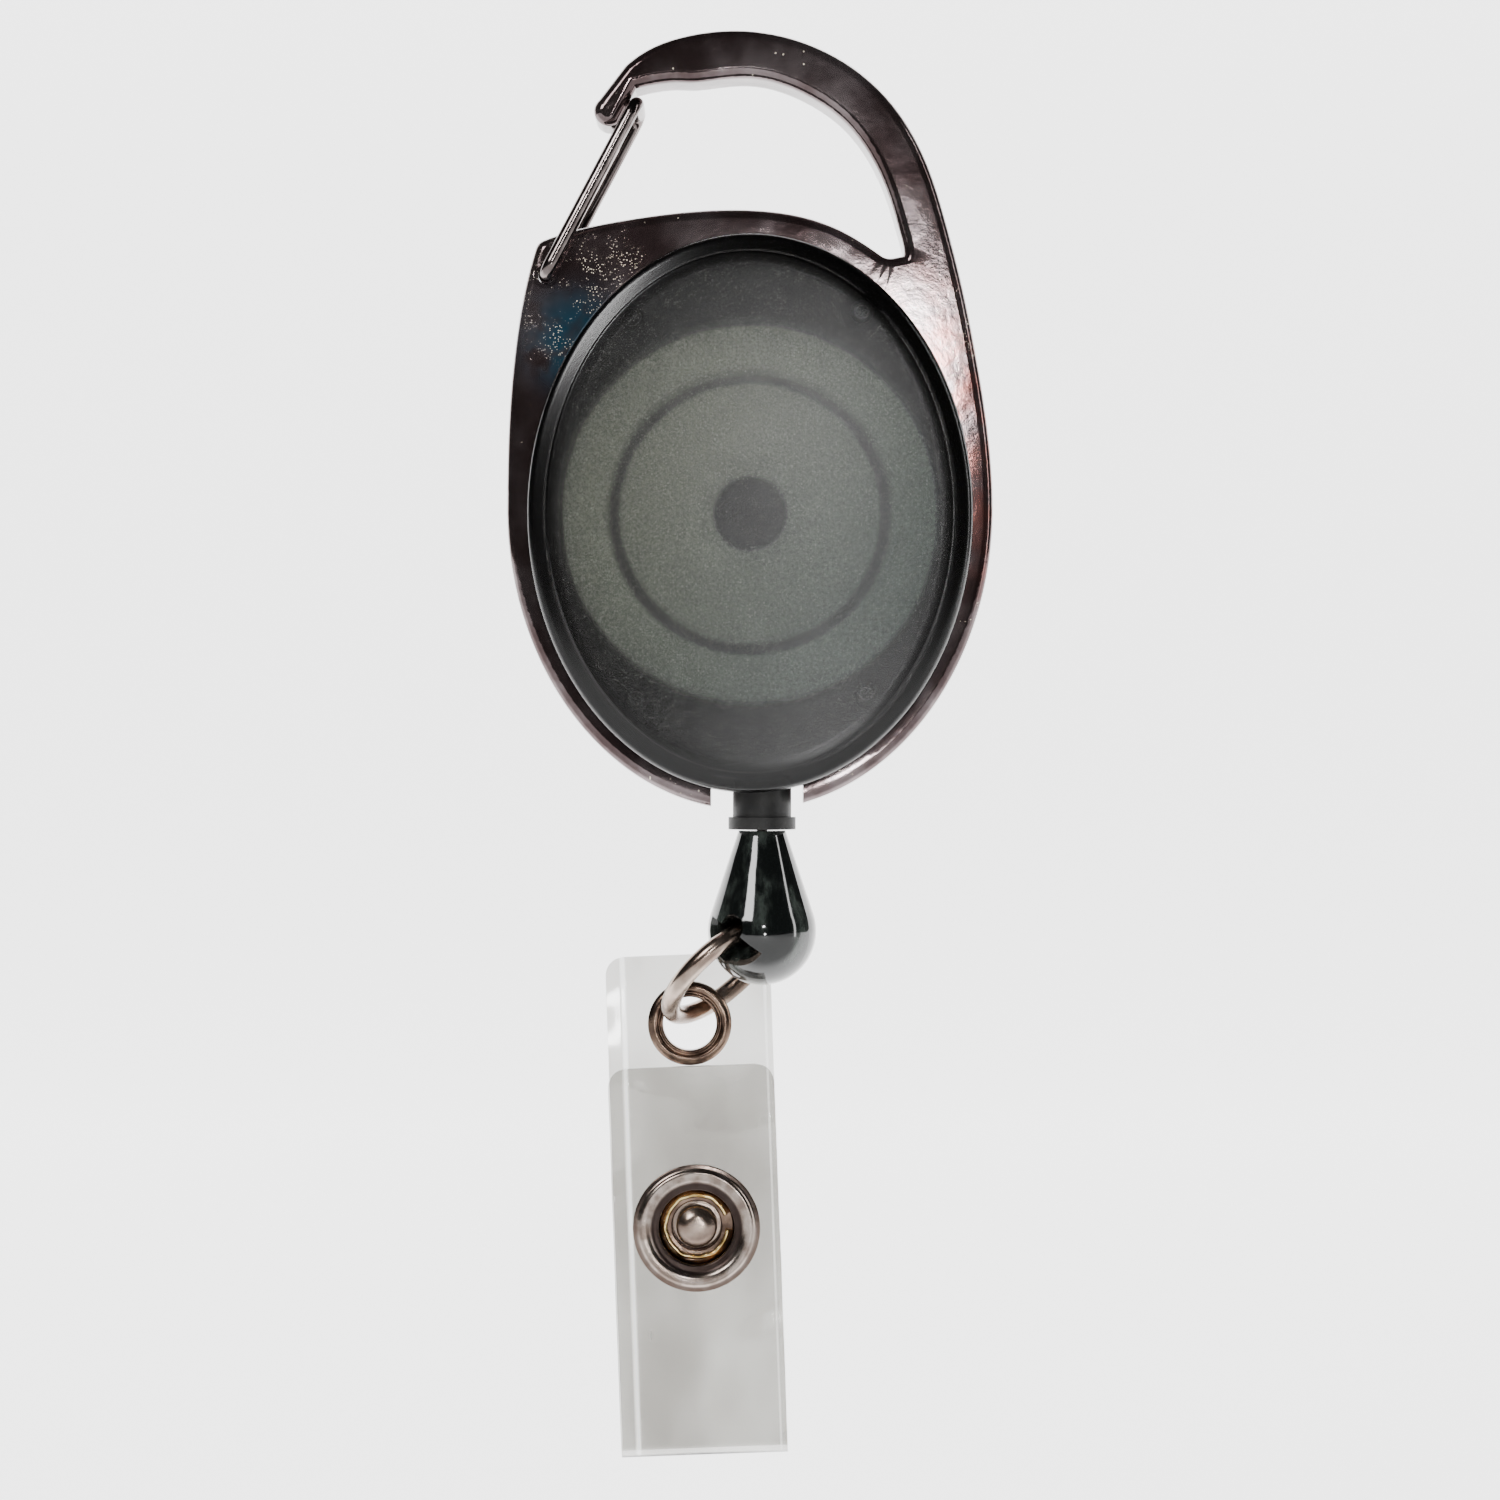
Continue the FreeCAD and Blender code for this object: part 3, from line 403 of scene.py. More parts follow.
# ---------------------------------------------------------------- finishes
def near_spot(x, z, spot, inner, outer):
    """1 within the inner distance of a spot, seen from the front, and 0 past the outer one."""
    side = x - spot[0]
    up = z - spot[1]
    return (side * side + up * up).root().ramp(outer, inner)


def smoked_chrome():
    """Dark plated casting: cloudy brown tint, a painted blue reflection by the gate's foot, and
    clusters of pits that carry painted glints.
    """
    finish = Finish("smoked_chrome", Metallic=0.9, Roughness=0.12)
    x, _, z = finish.along(AXIS)
    clouds = finish.noise(6.0, 4.0, 0.6)
    tint = finish.mix(clouds.ramp(0.35, 0.7), (0.085, 0.058, 0.058), (0.21, 0.175, 0.178))
    warm = near_spot(x, z, (17.5, 6.0), 5.0, 16.0) * finish.noise(2.4, 3.0).ramp(0.35, 0.7)
    tint = finish.mix(warm * 0.8, tint, (0.24, 0.09, 0.075))
    # painted reflection: a blue patch on the flat face by the gate's foot, less metallic there
    painted_blue_reflection = near_spot(x, z, (-13.3, 13.5), 1.5, 6.5) * finish.noise(2.6, 2.0).ramp(0.3, 0.55)
    tint = finish.mix(painted_blue_reflection * 0.9, tint, (0.008, 0.06, 0.10))
    # clusters where the pits carry painted glints: upper left of the cover and at its right
    speckled = near_spot(x, z, (-12.0, 16.5), 2.5, 7.5)
    speckled = speckled + 0.75 * near_spot(x, z, (14.0, 14.5), 1.0, 6.0)
    speckled = speckled * finish.noise(1.5, 3.0).ramp(0.46, 0.62)
    pits_and_painted_glints = finish.specks(0.13, 0.34) * speckled
    pits_and_painted_glints = pits_and_painted_glints + finish.specks(0.2, 0.02) * finish.noise(3.0).ramp(0.5, 0.7)
    # painted glints: the pits coloured bright gold-white, less metallic and rougher; their relief is real
    # pitting
    tint = finish.mix(pits_and_painted_glints, tint, (0.95, 0.86, 0.68))
    finish.set("Base Color", tint)
    finish.set("Metallic", 0.88 - painted_blue_reflection * 0.45 - pits_and_painted_glints * 0.4)
    finish.set("Roughness", 0.07 + clouds * 0.09 + pits_and_painted_glints * 0.25)
    ridges = (x * 5.5 - z * 5.5).sine() * near_spot(x, z, (-11.6, 31.2), 0.6, 1.6)
    finish.bump(finish.noise(1.3, 4.0, 0.6) + pits_and_painted_glints * 0.8 + ridges * 0.6, 0.03, 0.4)
    return finish


def wire_steel():
    """Bright drawn wire with fine draw lines and smoky tarnish."""
    finish = Finish("wire_steel", Metallic=1.0)
    lines = finish.noise(0.5, 3.0, 0.6, (1, 1, 0.15))
    smoke = finish.noise(2.2, 2.0).ramp(0.35, 0.65)
    tint = finish.mix(lines, (0.15, 0.125, 0.12), (0.3, 0.26, 0.25))
    finish.set("Base Color", finish.mix(smoke * 0.7, tint, (0.07, 0.055, 0.053)))
    finish.set("Roughness", 0.1 + lines * 0.1)
    finish.bump(lines, 0.01, 0.3)
    return finish


def nickel(name, dark, light, grain=2.5):
    """Plated metal with a warm tarnish in patches and fine scuffs."""
    finish = Finish(name, Metallic=1.0)
    patches = finish.noise(grain, 3.0)
    scuffs = finish.noise(0.25, 4.0, 0.7, (1, 1, 3))
    finish.set("Base Color", finish.mix(patches.ramp(0.35, 0.65), dark, light))
    finish.set("Roughness", 0.14 + scuffs * 0.16)
    finish.bump(scuffs, 0.01, 0.4)
    return finish


def snap_plate():
    """Plated nickel snap: painted shade in the groove inside its crest, darker along its outer edge."""
    finish = Finish("snap_plate", Metallic=1.0)
    x, _, z = finish.along(SNAP_AT)
    radius = (x * x + z * z).root()
    # painted shade: near black in the groove inside the crest
    painted_groove_shade = (radius - 3.3).size().ramp(0.55, 0.2)
    rim = radius.ramp(4.55, 4.85)
    patches = finish.noise(1.4, 3.0)
    scuffs = finish.noise(0.25, 4.0, 0.7)
    tint = finish.mix(patches.ramp(0.35, 0.65), (0.2, 0.155, 0.13), (0.4, 0.34, 0.3))
    tint = finish.mix(painted_groove_shade * 0.95, tint, (0.03, 0.02, 0.018))
    finish.set("Base Color", finish.mix(rim * 0.8, tint, (0.13, 0.09, 0.075)))
    finish.set("Roughness", 0.12 + scuffs * 0.18 + painted_groove_shade * 0.15)
    finish.bump(scuffs, 0.012, 0.4)
    return finish


def brass_wire():
    """Golden spring inside the snap."""
    finish = Finish("brass_wire", Metallic=1.0)
    patches = finish.noise(0.6, 3.0)
    tint = finish.mix(patches.ramp(0.35, 0.65), (0.42, 0.26, 0.08), (0.95, 0.74, 0.36))
    finish.set("Base Color", tint)
    finish.set("Roughness", 0.16 + patches * 0.15)
    return finish


def frosted_smoke():
    """Smoky translucent cover: frosted dome with painted glints, smooth dark edge, and what shows behind.

    Painted shade darkens it round the spool, over its hub and along its lid's edge; each boss is a
    dark ring with a pale middle. Painted light makes its upper left paler, with stronger glints there.
    """
    finish = Finish("frosted_smoke", Roughness=0.3, IOR=1.46, Transmission_Weight=0.97,
                    Specular_IOR_Level=0.06)
    x, _, z = finish.along(AXIS)
    wide, tall = OVAL_WIDE * 1000, OVAL_TALL * 1000
    reach = ((x / wide) * (x / wide) + (z / tall) * (z / tall)).root()
    edge = reach.ramp(0.86, 0.925)
    grain = finish.noise(0.24, 3.0, 0.8)
    # painted glints: white specks in the frost; their bump is a real fine relief
    painted_glint_specks = finish.specks(0.18, 0.42) * finish.noise(0.9, 2.0).ramp(0.3, 0.55)
    # painted light: the cover paler towards the upper left, where the key lamp falls
    lit = (x * 0.6 - z * 0.45).ramp(13.0, -9.0)
    tint = finish.mix(lit, (0.42, 0.46, 0.445), (0.66, 0.65, 0.59))
    radius = (x * x + z * z).root()
    # painted shade: darker round the spool, over its hub and along its lid's edge
    painted_shade = radius.ramp(14.2, 15.3) + radius.ramp(3.1, 2.5)
    painted_shade = painted_shade + (radius - LID_EDGE).size().ramp(0.75, 0.3) * 0.55
    tint = finish.mix(painted_shade * 0.86, tint, (0.055, 0.052, 0.05))
    frost = grain.ramp(0.42, 0.6) * 0.55 * (1 - painted_shade * 0.6)
    tint = finish.mix(frost, tint, (0.17, 0.175, 0.165))
    tint = finish.mix(painted_glint_specks * (0.55 + lit * 0.4), tint, (1.0, 1.0, 0.92))
    for side, up, show in BOSSES:
        spot = (side * 1000, up * 1000)
        tint = finish.mix(near_spot(x, z, spot, 1.35, 1.85) * show, tint, (0.03, 0.03, 0.03))
        tint = finish.mix(near_spot(x, z, spot, 0.5, 0.75) * show * 0.6, tint, (0.8, 0.82, 0.8))
    finish.set("Base Color", finish.mix(edge, tint, (0.018, 0.017, 0.018)))
    finish.set("Roughness", 0.2 - edge * 0.03 + grain * 0.08)
    finish.bump((grain + painted_glint_specks * 0.5) * (1 - edge), 0.04, 0.4)
    return finish


def dark_plastic(name, tone):
    """Moulded dark plastic with a fine spark-eroded grain."""
    finish = Finish(name, Roughness=0.5, Specular_IOR_Level=0.35)
    lumps = finish.noise(0.35, 3.0, 0.6)
    blotch = finish.noise(1.6, 3.0).ramp(0.3, 0.7)
    pale = (1.9 * tone, 1.85 * tone, 1.75 * tone)
    finish.set("Base Color", finish.mix(blotch, (tone, tone, tone), pale))
    finish.set("Roughness", 0.38 + lumps * 0.22)
    finish.bump(lumps + blotch * 0.5, 0.02, 0.5)
    return finish


def spool_plastic():
    """Grey-green moulded spool with a dark ring at its lid's edge and faint swirls."""
    finish = Finish("spool_plastic", Roughness=0.5)
    x, _, z = finish.along(AXIS)
    radius = (x * x + z * z).root()
    core = 1 - (radius - LID_EDGE).size().ramp(0.25, 0.5)
    swirl = finish.noise(4.0, 3.0)
    base = finish.mix(swirl, (0.4, 0.46, 0.41), (0.52, 0.58, 0.52))
    inner = radius.ramp(10.8, 10.0)
    base = finish.mix(inner * 0.35, base, (0.3, 0.33, 0.29))
    finish.set("Base Color", finish.mix(core, base, (0.02, 0.02, 0.02)))
    finish.bump(finish.noise(0.3, 2.0), 0.015, 0.4)
    return finish


def smoke_gloss():
    """Glossy smoke bead, nearly black, with upright grey-green flow marks."""
    finish = Finish("smoke_gloss", Roughness=0.07, IOR=1.52, Coat_Weight=0.5, Coat_Roughness=0.03,
                    Sheen_Weight=0.35, Sheen_Roughness=0.25, Sheen_Tint=(0.62, 0.5, 0.44, 1))
    flow = finish.noise(1.9, 4.0, 0.6, (1, 1, 0.35))
    tint = finish.mix(flow.ramp(0.45, 0.72), (0.004, 0.0052, 0.005), (0.052, 0.064, 0.056))
    finish.set("Base Color", tint)
    finish.set("Roughness", 0.05 + flow * 0.08)
    finish.bump(flow + finish.noise(0.5, 2.0) * 0.15, 0.03, 0.3)
    return finish


def clear_vinyl():
    """Clear flexible vinyl, faintly warm: lines pressed along its edges, waves and scratches."""
    finish = Finish("clear_vinyl", Roughness=0.06, IOR=1.5, Transmission_Weight=1.0)
    x, _, z = finish.along(EYELET_AT)
    lean = math.tan(STRAP_TILT)
    across = x + z * lean
    line = (across + 5.25).size().ramp(0.28, 0.1)
    line = line + (across - 6.1).size().ramp(0.12, 0.05) * 0.5
    waves = finish.noise(9.0, 2.0, 0.5, (1, 1, 0.5))
    scratches = finish.noise(1.6, 3.0, 0.6, (1.6, 1, 0.22)).ramp(0.735, 0.76)
    tint = finish.mix(waves.ramp(0.35, 0.65), (0.40, 0.39, 0.37), (0.56, 0.555, 0.535))
    tint = finish.mix(line * 0.7, tint, (0.86, 0.86, 0.85))
    finish.set("Base Color", finish.mix(scratches * 0.7, tint, (0.3, 0.3, 0.3)))
    finish.set("Roughness", 0.05 + waves * 0.05 + scratches * 0.3)
    small_waves = finish.noise(3.0, 2.0) * 0.2
    finish.bump(waves + line * 0.7 + scratches * 0.15 + small_waves, 0.1, 0.3)
    return finish


def vinyl_edge():
    """Cut edge of the vinyl, darker because light leaves it sideways."""
    finish = Finish("vinyl_edge", Roughness=0.15, IOR=1.5, Transmission_Weight=0.6)
    saw = finish.noise(0.4, 2.0)
    finish.set("Base Color", finish.mix(saw, (0.05, 0.055, 0.05), (0.16, 0.165, 0.155)))
    finish.bump(saw, 0.03, 0.4)
    return finish


def braided_cord():
    """Black nylon braid: crossing diagonal strands."""
    finish = Finish("braided_cord", Roughness=0.7)
    x, _, z = finish.along(BEAD_AT)
    strands = ((x * 9 + z * 7).sine() * (x * 9 - z * 7).sine()) * 0.5 + 0.5
    finish.set("Base Color", finish.mix(strands, (0.012, 0.012, 0.012), (0.05, 0.05, 0.05)))
    finish.bump(strands, 0.06, 0.7)
    return finish


CHROME = smoked_chrome()
STEEL = wire_steel()
NICKEL = nickel("ring_nickel", (0.22, 0.16, 0.13), (0.44, 0.35, 0.29))
BRONZE = nickel("eyelet_bronze", (0.09, 0.06, 0.046), (0.26, 0.18, 0.135), 1.8)
SNAP_METAL = snap_plate()
BRASS = brass_wire()
FROST = frosted_smoke()
DARK = dark_plastic("nozzle_plastic", 0.009)
BACK = dark_plastic("back_plastic", 0.008)
POST = dark_plastic("post_plastic", 0.012)
SPOOL = spool_plastic()
SMOKE = smoke_gloss()
VINYL = clear_vinyl()
VINYL_EDGE = vinyl_edge()
CORD = braided_cord()


# ---------------------------------------------------------------- casing
def frosted_cover():
    """Oval dome shell: side wall, rounded shoulder, flat band, a fine step, then a low dome.

    Up to the step each ring is the oval less an inset. Past it the rings shrink in proportion, and
    the dome's depth falls off as the 2.2nd power of the share of the way out. The inner face follows
    one wall further in.
    """
    wall = 1.1 * MM
    shoulder = 0.6 * MM
    front = -COVER_FRONT
    corners = [(0, WEB_HALF, 0), (0, 0.83 * front, 1.6 * MM), (1.5 * MM, 0.885 * front, 0.3 * MM),
               (1.62 * MM, 0.905 * front, 0.12 * MM), (2.6 * MM, 0.93 * front, 0)]
    outside = rounded_profile(corners, 7)[:-1]
    outside = outside[np.argsort(outside[:, 0], kind="stable")]
    step_inset, step_depth = outside[-1]
    wide, tall = OVAL_WIDE - step_inset, OVAL_TALL - step_inset
    dome = [(share, step_depth + (front - step_depth) * (1 - share ** 2.2))
            for share in np.linspace(0.96, 0.02, 22)]
    thin = 0.2 * wall
    rings = [(OVAL_WIDE - inset, OVAL_TALL - inset, depth) for inset, depth in outside]
    rings += [(wide * share, tall * share, depth) for share, depth in dome]
    rings += [((wide - thin) * share, (tall - thin) * share, depth - wall)
              for share, depth in dome[::-1]]
    rings += [(OVAL_WIDE - wall - 0.8 * inset, OVAL_TALL - wall - 0.8 * inset,
               max(depth - wall * min(1, inset / shoulder), WEB_HALF))
              for inset, depth in outside[::-1]]
    around = 160
    angle = np.linspace(0, 2 * math.pi, around, endpoint=False)
    rings = np.array(rings)[:, :, None]
    depth = np.repeat(-rings[:, 2], around, 1)
    points = np.stack([rings[:, 0] * np.cos(angle), depth, rings[:, 1] * np.sin(angle)], -1)
    pole = len(outside) + len(dome) - 1
    faces = grid_faces(len(rings), around, wrap_rows=True)
    faces = list(faces[faces[:, 0] // around != pole])
    faces += [range(row * around, (row + 1) * around) for row in (pole, pole + 1)]
    return points.reshape(-1, 3) + np.array(AXIS), faces


paint(FROST, solid("frosted_cover", *frosted_cover(), "reel_body", ["front_cover"], "frosted_smoke"))

for finish, node, name in [(CHROME, "carabiner_frame", "carabiner_casting"),
                           (BACK, "back_cover", "back_shell"),
                           (DARK, "cord_nozzle", "cord_outlet"),
                           (POST, "arbor_post", "fixed_post"),
                           (SPOOL, "spool", "cord_spool"),
                           (SPOOL, "spring_cover", "spring_lid"),
                           (STEEL, "mainspring", "coil_spring"),
                           (CORD, "cord_winding", "wound_cord"),
                           (CORD, "cord_knot", "end_knot"),
                           (SMOKE, "bead_front_half", "bead_front"),
                           (SMOKE, "bead_back_half", "bead_back"),
                           (STEEL, "gate_wire", "gate_spring")]:
    paint(finish, merged_copy(node, name))


def hollow_bosses():
    """Four hollow posts inside the cover that take the back's pins."""
    top, foot = COVER_FRONT / MM + 0.9, -0.3
    outline = [(0.5, top, 0.1), (0.9, top, 0.05), (0.9, foot, 0.15), (0.5, foot, 0.1)]
    for number, (side, up, _) in enumerate(BOSSES, 1):
        place = Matrix.Translation(AXIS + Vector((side, 0, up)))
        boss = turned(f"cover_boss_{number}", outline, place, "reel_body", around=24, steps=3)
        paint(DARK, boss)


hollow_bosses()


# ---------------------------------------------------------------- cord
def cord_run():
    """Round braid from the winding to the nozzle's mouth and straight down to the knot.

    It is straight, then a parabola round the mouth, then straight again.
    """
    high = Vector(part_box("cord_lead")[1])
    lip, mouth = (corner[2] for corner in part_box("cord_nozzle"))
    down = BEAD_AT.x
    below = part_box("cord_knot")[1][2] - 0.2 * MM
    lead_top = Vector((high.x - CORD_RADIUS, 0, high.z - CORD_RADIUS))
    bend = Vector((down, 0, mouth - 0.8 * MM))
    come, leave = bend.lerp(lead_top, 0.12), Vector((down, 0, bend.z - 1.6 * MM))
    turn = np.linspace(0, 1, 14)[:, None]
    arc = (1 - turn) ** 2 * np.array(come) + 2 * turn * (1 - turn) * np.array(bend)
    arc = arc + turn ** 2 * np.array(leave)
    first = np.linspace(np.array(lead_top), np.array(come), 6)[:-1]
    last = np.linspace(np.array(leave), np.array([down, 0, below]), 60)[1:]
    piece = tube("cord_run", np.concatenate([first, arc, last]), CORD_RADIUS, None)
    paint(CORD, piece)
    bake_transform(piece)
    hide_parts("cord_lead")


cord_run()


# ---------------------------------------------------------------- ring
def split_ring():
    """Round wire once round a circle that stands in the bead's hole, its two cut ends meeting."""
    top = Vector(joint("ring_swing")["pos_m"])
    down = middle("jump_ring") - top
    down -= HOLE_WAY * down.dot(HOLE_WAY)
    across = HOLE_WAY * down.length
    angle = np.radians(np.linspace(126, 484, 180))[:, None]
    path = np.array(top + down) + np.cos(angle) * np.array(down) + np.sin(angle) * np.array(across)
    paint(NICKEL, tube("split_ring", path, RING_WIRE, "ring", ["jump_ring"], 28, end_round=0.12))


split_ring()


# ---------------------------------------------------------------- eyelet and snap
SNAP = STRAP @ Matrix.Translation((0, 0, -SNAP_DROP))
# depths through the strap in mm, less towards the front: both faces of the flap, the socket's back,
# and both faces of the rear layer
FRONT = FLAP_Y / MM - 0.275
BEHIND = FRONT + 0.55
SOCKET_BACK = BEHIND + 1.25
FACE, REAR = -0.275, 0.275


def pressed_metal():
    """Rolled rings of pressed sheet, each a rounded outline turned about the strap's thickness."""
    barrel = [(2.13, 0.575, 0.12), (2.13, -0.45, 0.15), (2.3, -0.56, 0.1), (2.42, -0.44, 0.06),
              (2.52, -0.44, 0.05), (2.66, -0.675, 0.2), (3.05, -0.675, 0.22), (3.35, -0.44, 0.12),
              (3.35, FACE, 0.05), (EYELET_HOLE, FACE, 0.03), (EYELET_HOLE, 0.575, 0.08)]
    washer = [(EYELET_HOLE, REAR, 0.03), (3.35, REAR, 0.06), (3.35, 0.575, 0.2),
              (EYELET_HOLE, 0.575, 0.06)]
    cap = [(3.0, BEHIND, 0.05), (3.0, FRONT + 0.02, 0.12), (3.2, FRONT - 0.03, 0.08),
           (3.5, FRONT - 0.06, 0.15), (3.85, FRONT - 0.36, 0.22), (4.45, FRONT - 0.4, 0.3),
           (4.68, FRONT - 0.2, 0.12), (5.05, FRONT - 0.15, 0.1), (5.05, FRONT, 0.05),
           (SNAP_HOLE, FRONT, 0.04), (SNAP_HOLE, BEHIND, 0.04)]
    socket = [(3.0, BEHIND, 0.05), (4.4, BEHIND, 0.15), (4.4, SOCKET_BACK, 0.5),
              (1.95, SOCKET_BACK, 0.12), (1.95, SOCKET_BACK - 0.4, 0.12),
              (3.0, SOCKET_BACK - 0.4, 0.35)]
    inside = SOCKET_BACK - 0.8
    stud = [(0, FRONT + 0.1, 0), (0.9, FRONT + 0.14, 0.3), (1.64, FRONT + 0.6, 0.45),
            (1.6, FRONT + 1.0, 0.2), (1.25, FRONT + 1.3, 0.2), (1.25, -0.85, 0.1),
            (1.6, -0.675, 0.12), (3.4, -0.675, 0.2), (3.4, FACE, 0.06), (0.8, FACE, 0.03),
            (0.8, inside, 0), (0, inside, 0)]
    post = [(0, 0.675, 0), (2.9, 0.65, 0.5), (3.9, 0.45, 0.15), (3.9, REAR, 0.06),
            (0.8, REAR, 0.03), (0.8, inside, 0), (0, inside, 0)]
    for finish, node, outline, place, body in [(BRONZE, "eyelet_barrel", barrel, STRAP, "strap"),
                                               (BRONZE, "eyelet_washer", washer, STRAP, "strap"),
                                               (SNAP_METAL, "snap_cap", cap, SNAP, "flap"),
                                               (BRONZE, "snap_socket", socket, SNAP, "flap"),
                                               (NICKEL, "snap_stud", stud, SNAP, "strap"),
                                               (NICKEL, "stud_post", post, SNAP, "strap")]:
        paint(finish, turned(node + "_plated", outline, place, body, [node]))


def snap_spring():
    """Golden wire round the socket's inside, kinked out at six places, its ends apart."""
    angle = np.radians(np.linspace(20, 350, 220))
    kink = 0.12 * np.clip(np.cos(6 * angle), 0.4, 1)
    radius = (2.42 + kink) * MM
    depth = np.full(angle.shape, (SOCKET_BACK - 0.65) * MM)
    path = placed(np.stack([radius * np.cos(angle), depth, radius * np.sin(angle)], -1), SNAP)
    paint(BRASS, tube("snap_spring", path, 0.2 * MM, "flap", ["socket_spring"], 14))


pressed_metal()
snap_spring()


# ---------------------------------------------------------------- strap
REAR_TOP = 5.5 * MM
STRAP_LOW = 34.3 * MM
FLAP_TOP = -3.2 * MM
HALF_WIDTH = 6.6 * MM
CORNER = 1.5 * MM
FOLD_Z = -STRAP_LOW + FOLD_RADIUS + SHEET / 2
REAR_RUN = REAR_TOP - FOLD_Z
FLAT_LENGTH = REAR_RUN + math.pi * FOLD_RADIUS + FLAP_TOP - FOLD_Z


def square_rays(half, middle_run, hole, tall):
    """Points from a round hole out to a rectangle across the strip, each ray straight."""
    side = np.linspace(-half, half, 33)
    up = np.linspace(-tall, tall, 25)
    sides = [(side[:-1], np.full(32, -tall)), (np.full(24, half), up[:-1]),
             (side[:0:-1], np.full(32, tall)), (np.full(24, -half), up[:0:-1])]
    edge = np.concatenate([np.stack(pair, -1) for pair in sides])
    circle = edge / np.linalg.norm(edge, axis=1, keepdims=True) * hole
    share = np.linspace(0, 1, 9)[:, None, None]
    return (circle * (1 - share) + edge * share + [0, middle_run]).reshape(-1, 2), grid_faces(9, len(edge))


def plain_band(half, start, end, rows):
    """Rectangle of points across the strip; near either end its width follows the round corners."""
    run = np.linspace(start, end, rows)
    near = np.minimum(run, FLAT_LENGTH - run).clip(0, CORNER)
    width = half - CORNER + np.sqrt((CORNER ** 2 - (CORNER - near) ** 2).clip(0))
    side = np.linspace(-1, 1, 33)
    points = np.stack([side[None] * width[:, None], np.repeat(run[:, None], 33, 1)], -1)
    return points.reshape(-1, 2), grid_faces(rows, 33, wrap_columns=False)


def folded(flat_points):
    """Strip laid down the rear, round the half circle of the fold and up the front.

    Two slow sine ripples and a curl that grows as the square of the distance from the middle move it
    in depth. They fade to nothing in the fold and round the eyelet and the snap.
    """
    side, run = flat_points.T
    turn = ((run - REAR_RUN) / FOLD_RADIUS).clip(0, math.pi)
    past = (run - REAR_RUN - math.pi * FOLD_RADIUS).clip(0)
    y = -FOLD_RADIUS + FOLD_RADIUS * np.cos(turn)
    z = REAR_TOP - np.minimum(run, REAR_RUN) - FOLD_RADIUS * np.sin(turn) + past
    free = np.abs(turn - math.pi / 2) / (math.pi / 2)
    calm = np.clip((np.hypot(side, z + SNAP_DROP) - 4.6 * MM) / (3 * MM), 0, 1)
    calm *= np.clip((np.hypot(side, z) - 3.6 * MM) / (3 * MM), 0, 1)
    across, up = side / MM, z / MM
    ripple = 0.10 * np.sin(up * 0.34 + across * 0.21 + 0.6)
    ripple += 0.05 * np.sin(up * 0.71 - across * 0.37)
    curl = 0.0032 * across ** 2 * np.cos(up * 0.13)
    y = y + (ripple - curl) * MM * free * calm
    return np.stack([side, y, z], -1)


def vinyl_strap():
    """One strip of clear vinyl, folded once, with round corners, an eyelet hole and a snap hole."""
    eyelet_run, snap_run = REAR_TOP, FLAT_LENGTH - (FLAP_TOP + SNAP_DROP)
    near_eyelet, near_snap = 4.0 * MM, 4.6 * MM
    patches = [plain_band(HALF_WIDTH, 0, eyelet_run - near_eyelet, 12),
               square_rays(HALF_WIDTH, eyelet_run, EYELET_HOLE * MM, near_eyelet),
               plain_band(HALF_WIDTH, eyelet_run + near_eyelet, snap_run - near_snap, 90),
               square_rays(HALF_WIDTH, snap_run, SNAP_HOLE * MM, near_snap),
               plain_band(HALF_WIDTH, snap_run + near_snap, FLAT_LENGTH - CORNER, 20),
               plain_band(HALF_WIDTH, FLAT_LENGTH - CORNER, FLAT_LENGTH, 12)]
    points, faces, count = [], [], 0
    for patch_points, patch_faces in patches:
        points.append(patch_points)
        faces += (patch_faces + count).tolist()
        count += len(patch_points)
    strip = folded(np.concatenate(points))
    piece = solid("vinyl_strap", placed(strip, STRAP), faces, None)
    paint(VINYL, piece)
    piece.data.materials.append(VINYL_EDGE.material)
    thicken = piece.modifiers.new("thickness", "SOLIDIFY")
    thicken.thickness = SHEET
    thicken.offset = 0
    thicken.use_even_offset = True
    thicken.material_offset_rim = 1
    bake(piece)
    finish_normals(piece, 50)
    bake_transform(piece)
    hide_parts("strap_back", "strap_fold", "strap_flap")


vinyl_strap()


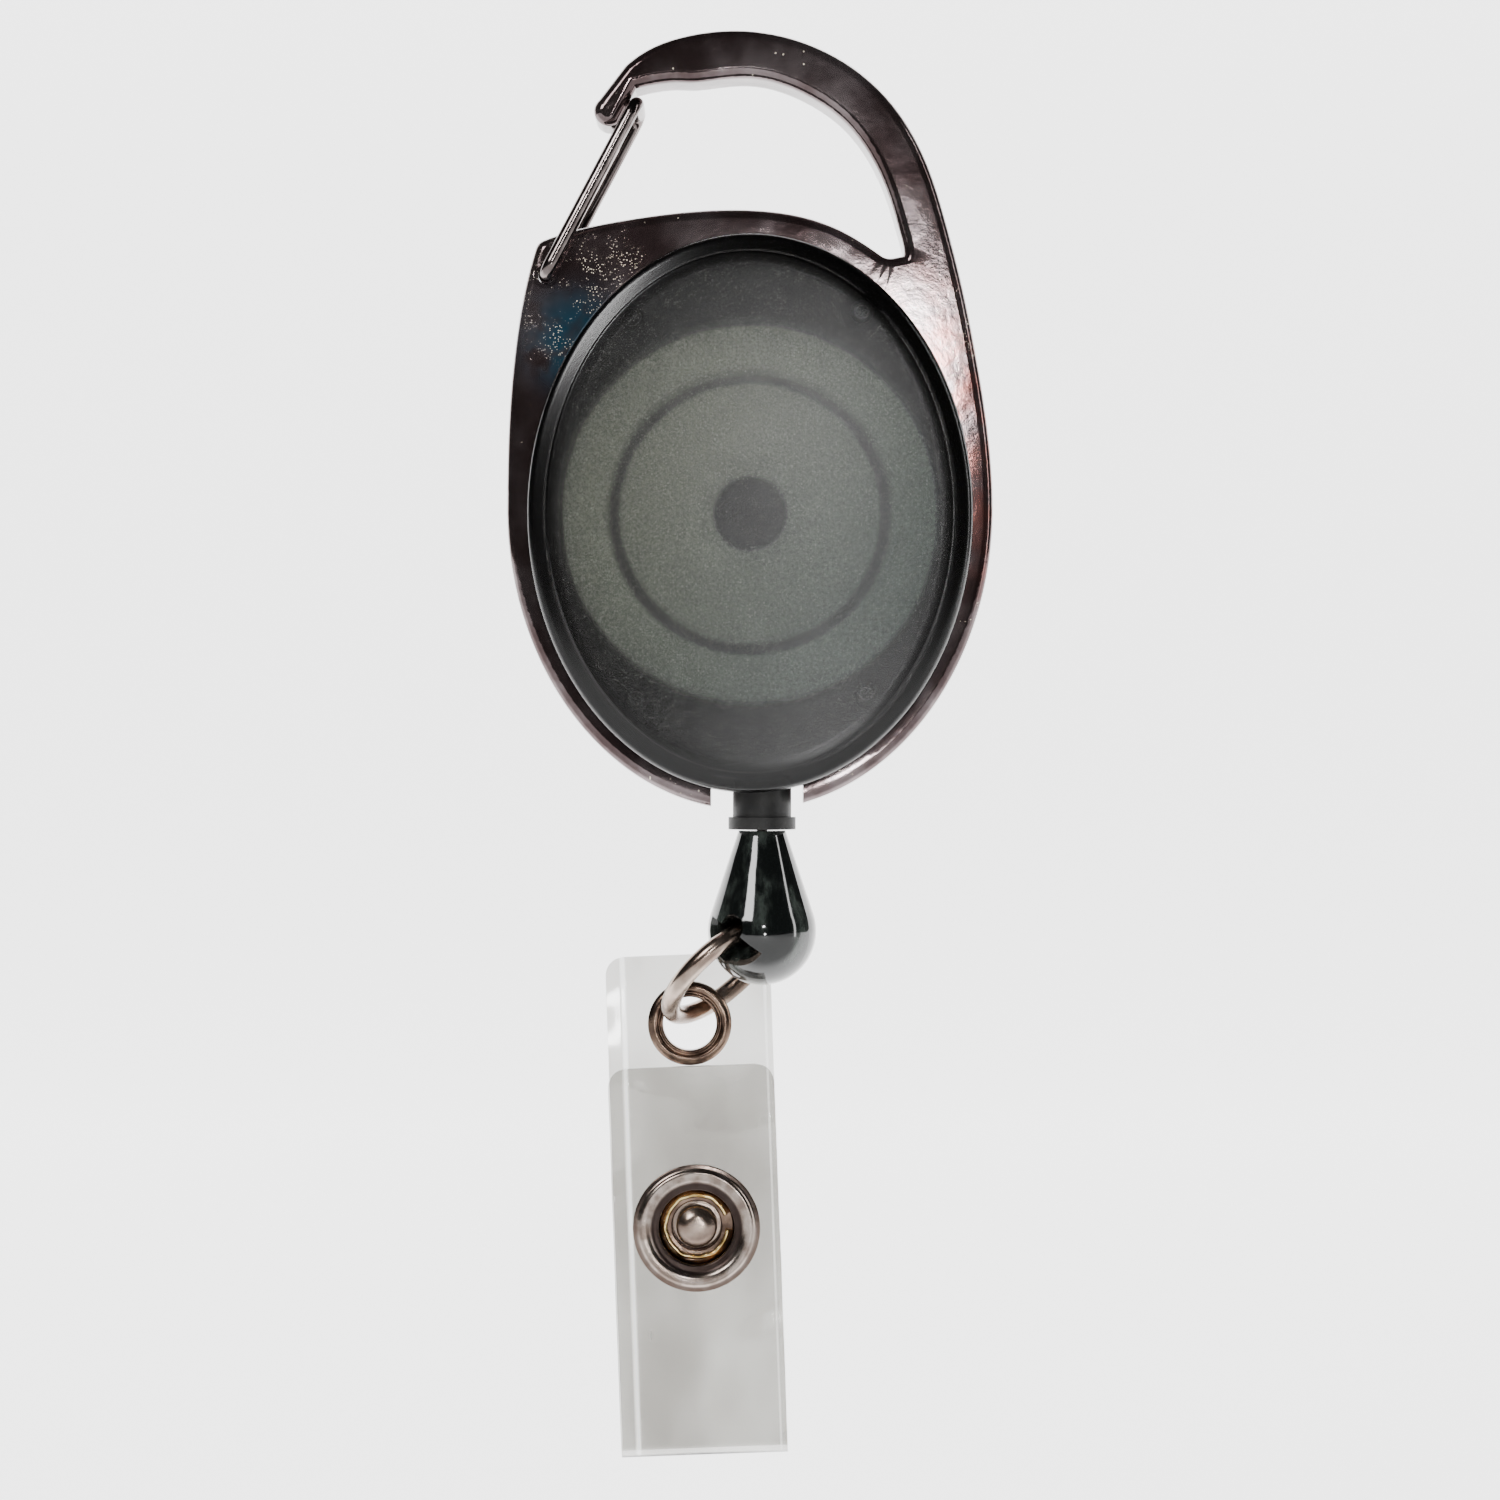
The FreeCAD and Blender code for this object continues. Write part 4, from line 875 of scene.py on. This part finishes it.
# ---------------------------------------------------------------- stage
def floor():
    """Pale floor that curves up into a wall far behind and glows like a light table, dim in front."""
    low = CAD_BOX[0][2] - 32 * MM
    reach, bend, height = 0.9, 0.4, 1.6
    turn = np.linspace(0, math.pi / 2, 24)
    line = [(-0.6, low), (0.2, low)]
    line += [(reach - bend + bend * math.sin(t), low + bend - bend * math.cos(t))
             for t in turn]
    line.append((reach, low + height))
    width = 1.6
    points = [(side, y, z) for y, z in line for side in (-width, width)]
    mesh = bpy.data.meshes.new("floor")
    mesh.from_pydata(points, [], grid_faces(len(line), 2, wrap_columns=False).tolist())
    mesh.shade_smooth()
    sheet = bpy.data.objects.new("floor", mesh)
    bpy.context.scene.collection.objects.link(sheet)
    pale = Finish("floor_paper", Roughness=0.9, Emission_Strength=2.8)
    depth = pale.along()[1]
    glow = pale.mix(depth.ramp(-40.0, 0.0), (0.16, 0.16, 0.16), (1, 1, 1))
    pale.set("Emission Color", glow)
    pale.set("Base Color", pale.mix(pale.noise(40.0), (0.86, 0.86, 0.86), (0.9, 0.9, 0.9)))
    paint(pale, sheet)


def lamp(name, place, aim, size, power, height=None):
    """Soft square area light aimed at a point, or an upright rectangle if it has a height."""
    data = bpy.data.lights.new(name, "AREA")
    data.size = size
    if height:
        data.shape = "RECTANGLE"
        data.size_y = height
    data.energy = power
    light = bpy.data.objects.new(name, data)
    light.location = place
    light.rotation_euler = (Vector(aim) - Vector(place)).to_track_quat("-Z", "Y").to_euler()
    bpy.context.scene.collection.objects.link(light)


def studio():
    """Dim surroundings and five lamps.

    A broad key at the upper left, a strip at the right, a box low in front and two small lamps by
    the eye.
    """
    world = bpy.data.worlds.new("studio")
    world.use_nodes = True
    backdrop = world.node_tree.nodes["Background"]
    backdrop.inputs[0].default_value = (1, 1, 1, 1)
    backdrop.inputs[1].default_value = 0.035
    bpy.context.scene.world = world
    aim = (0, 0, -0.05)
    lamp("key", (-0.32, -0.5, 0.3), aim, 0.22, 2.6)
    lamp("strip", (0.42, -0.12, 0.05), aim, 0.04, 0.6, height=0.5)
    lamp("low_box", (-0.12, -0.3, -0.42), aim, 0.2, 0.5)
    lamp("eye_high", (0.03, -0.45, 0.03), aim, 0.025, 0.22)
    lamp("eye_low", (0.05, -0.45, -0.1), aim, 0.025, 0.16)


def camera():
    """Straight on from the front, 250 mm off, level with the middle of the object."""
    data = bpy.data.cameras.new("camera")
    distance = 250 * MM
    data.sensor_width = 36
    data.lens = 76.2
    data.clip_start = 0.01
    eye = bpy.data.objects.new("camera", data)
    eye.location = (AXIS.x, -distance, AXIS.z - 18.37 * MM)
    eye.rotation_euler = (math.pi / 2, 0, 0)
    bpy.context.scene.collection.objects.link(eye)
    bpy.context.scene.camera = eye


floor()
studio()
camera()
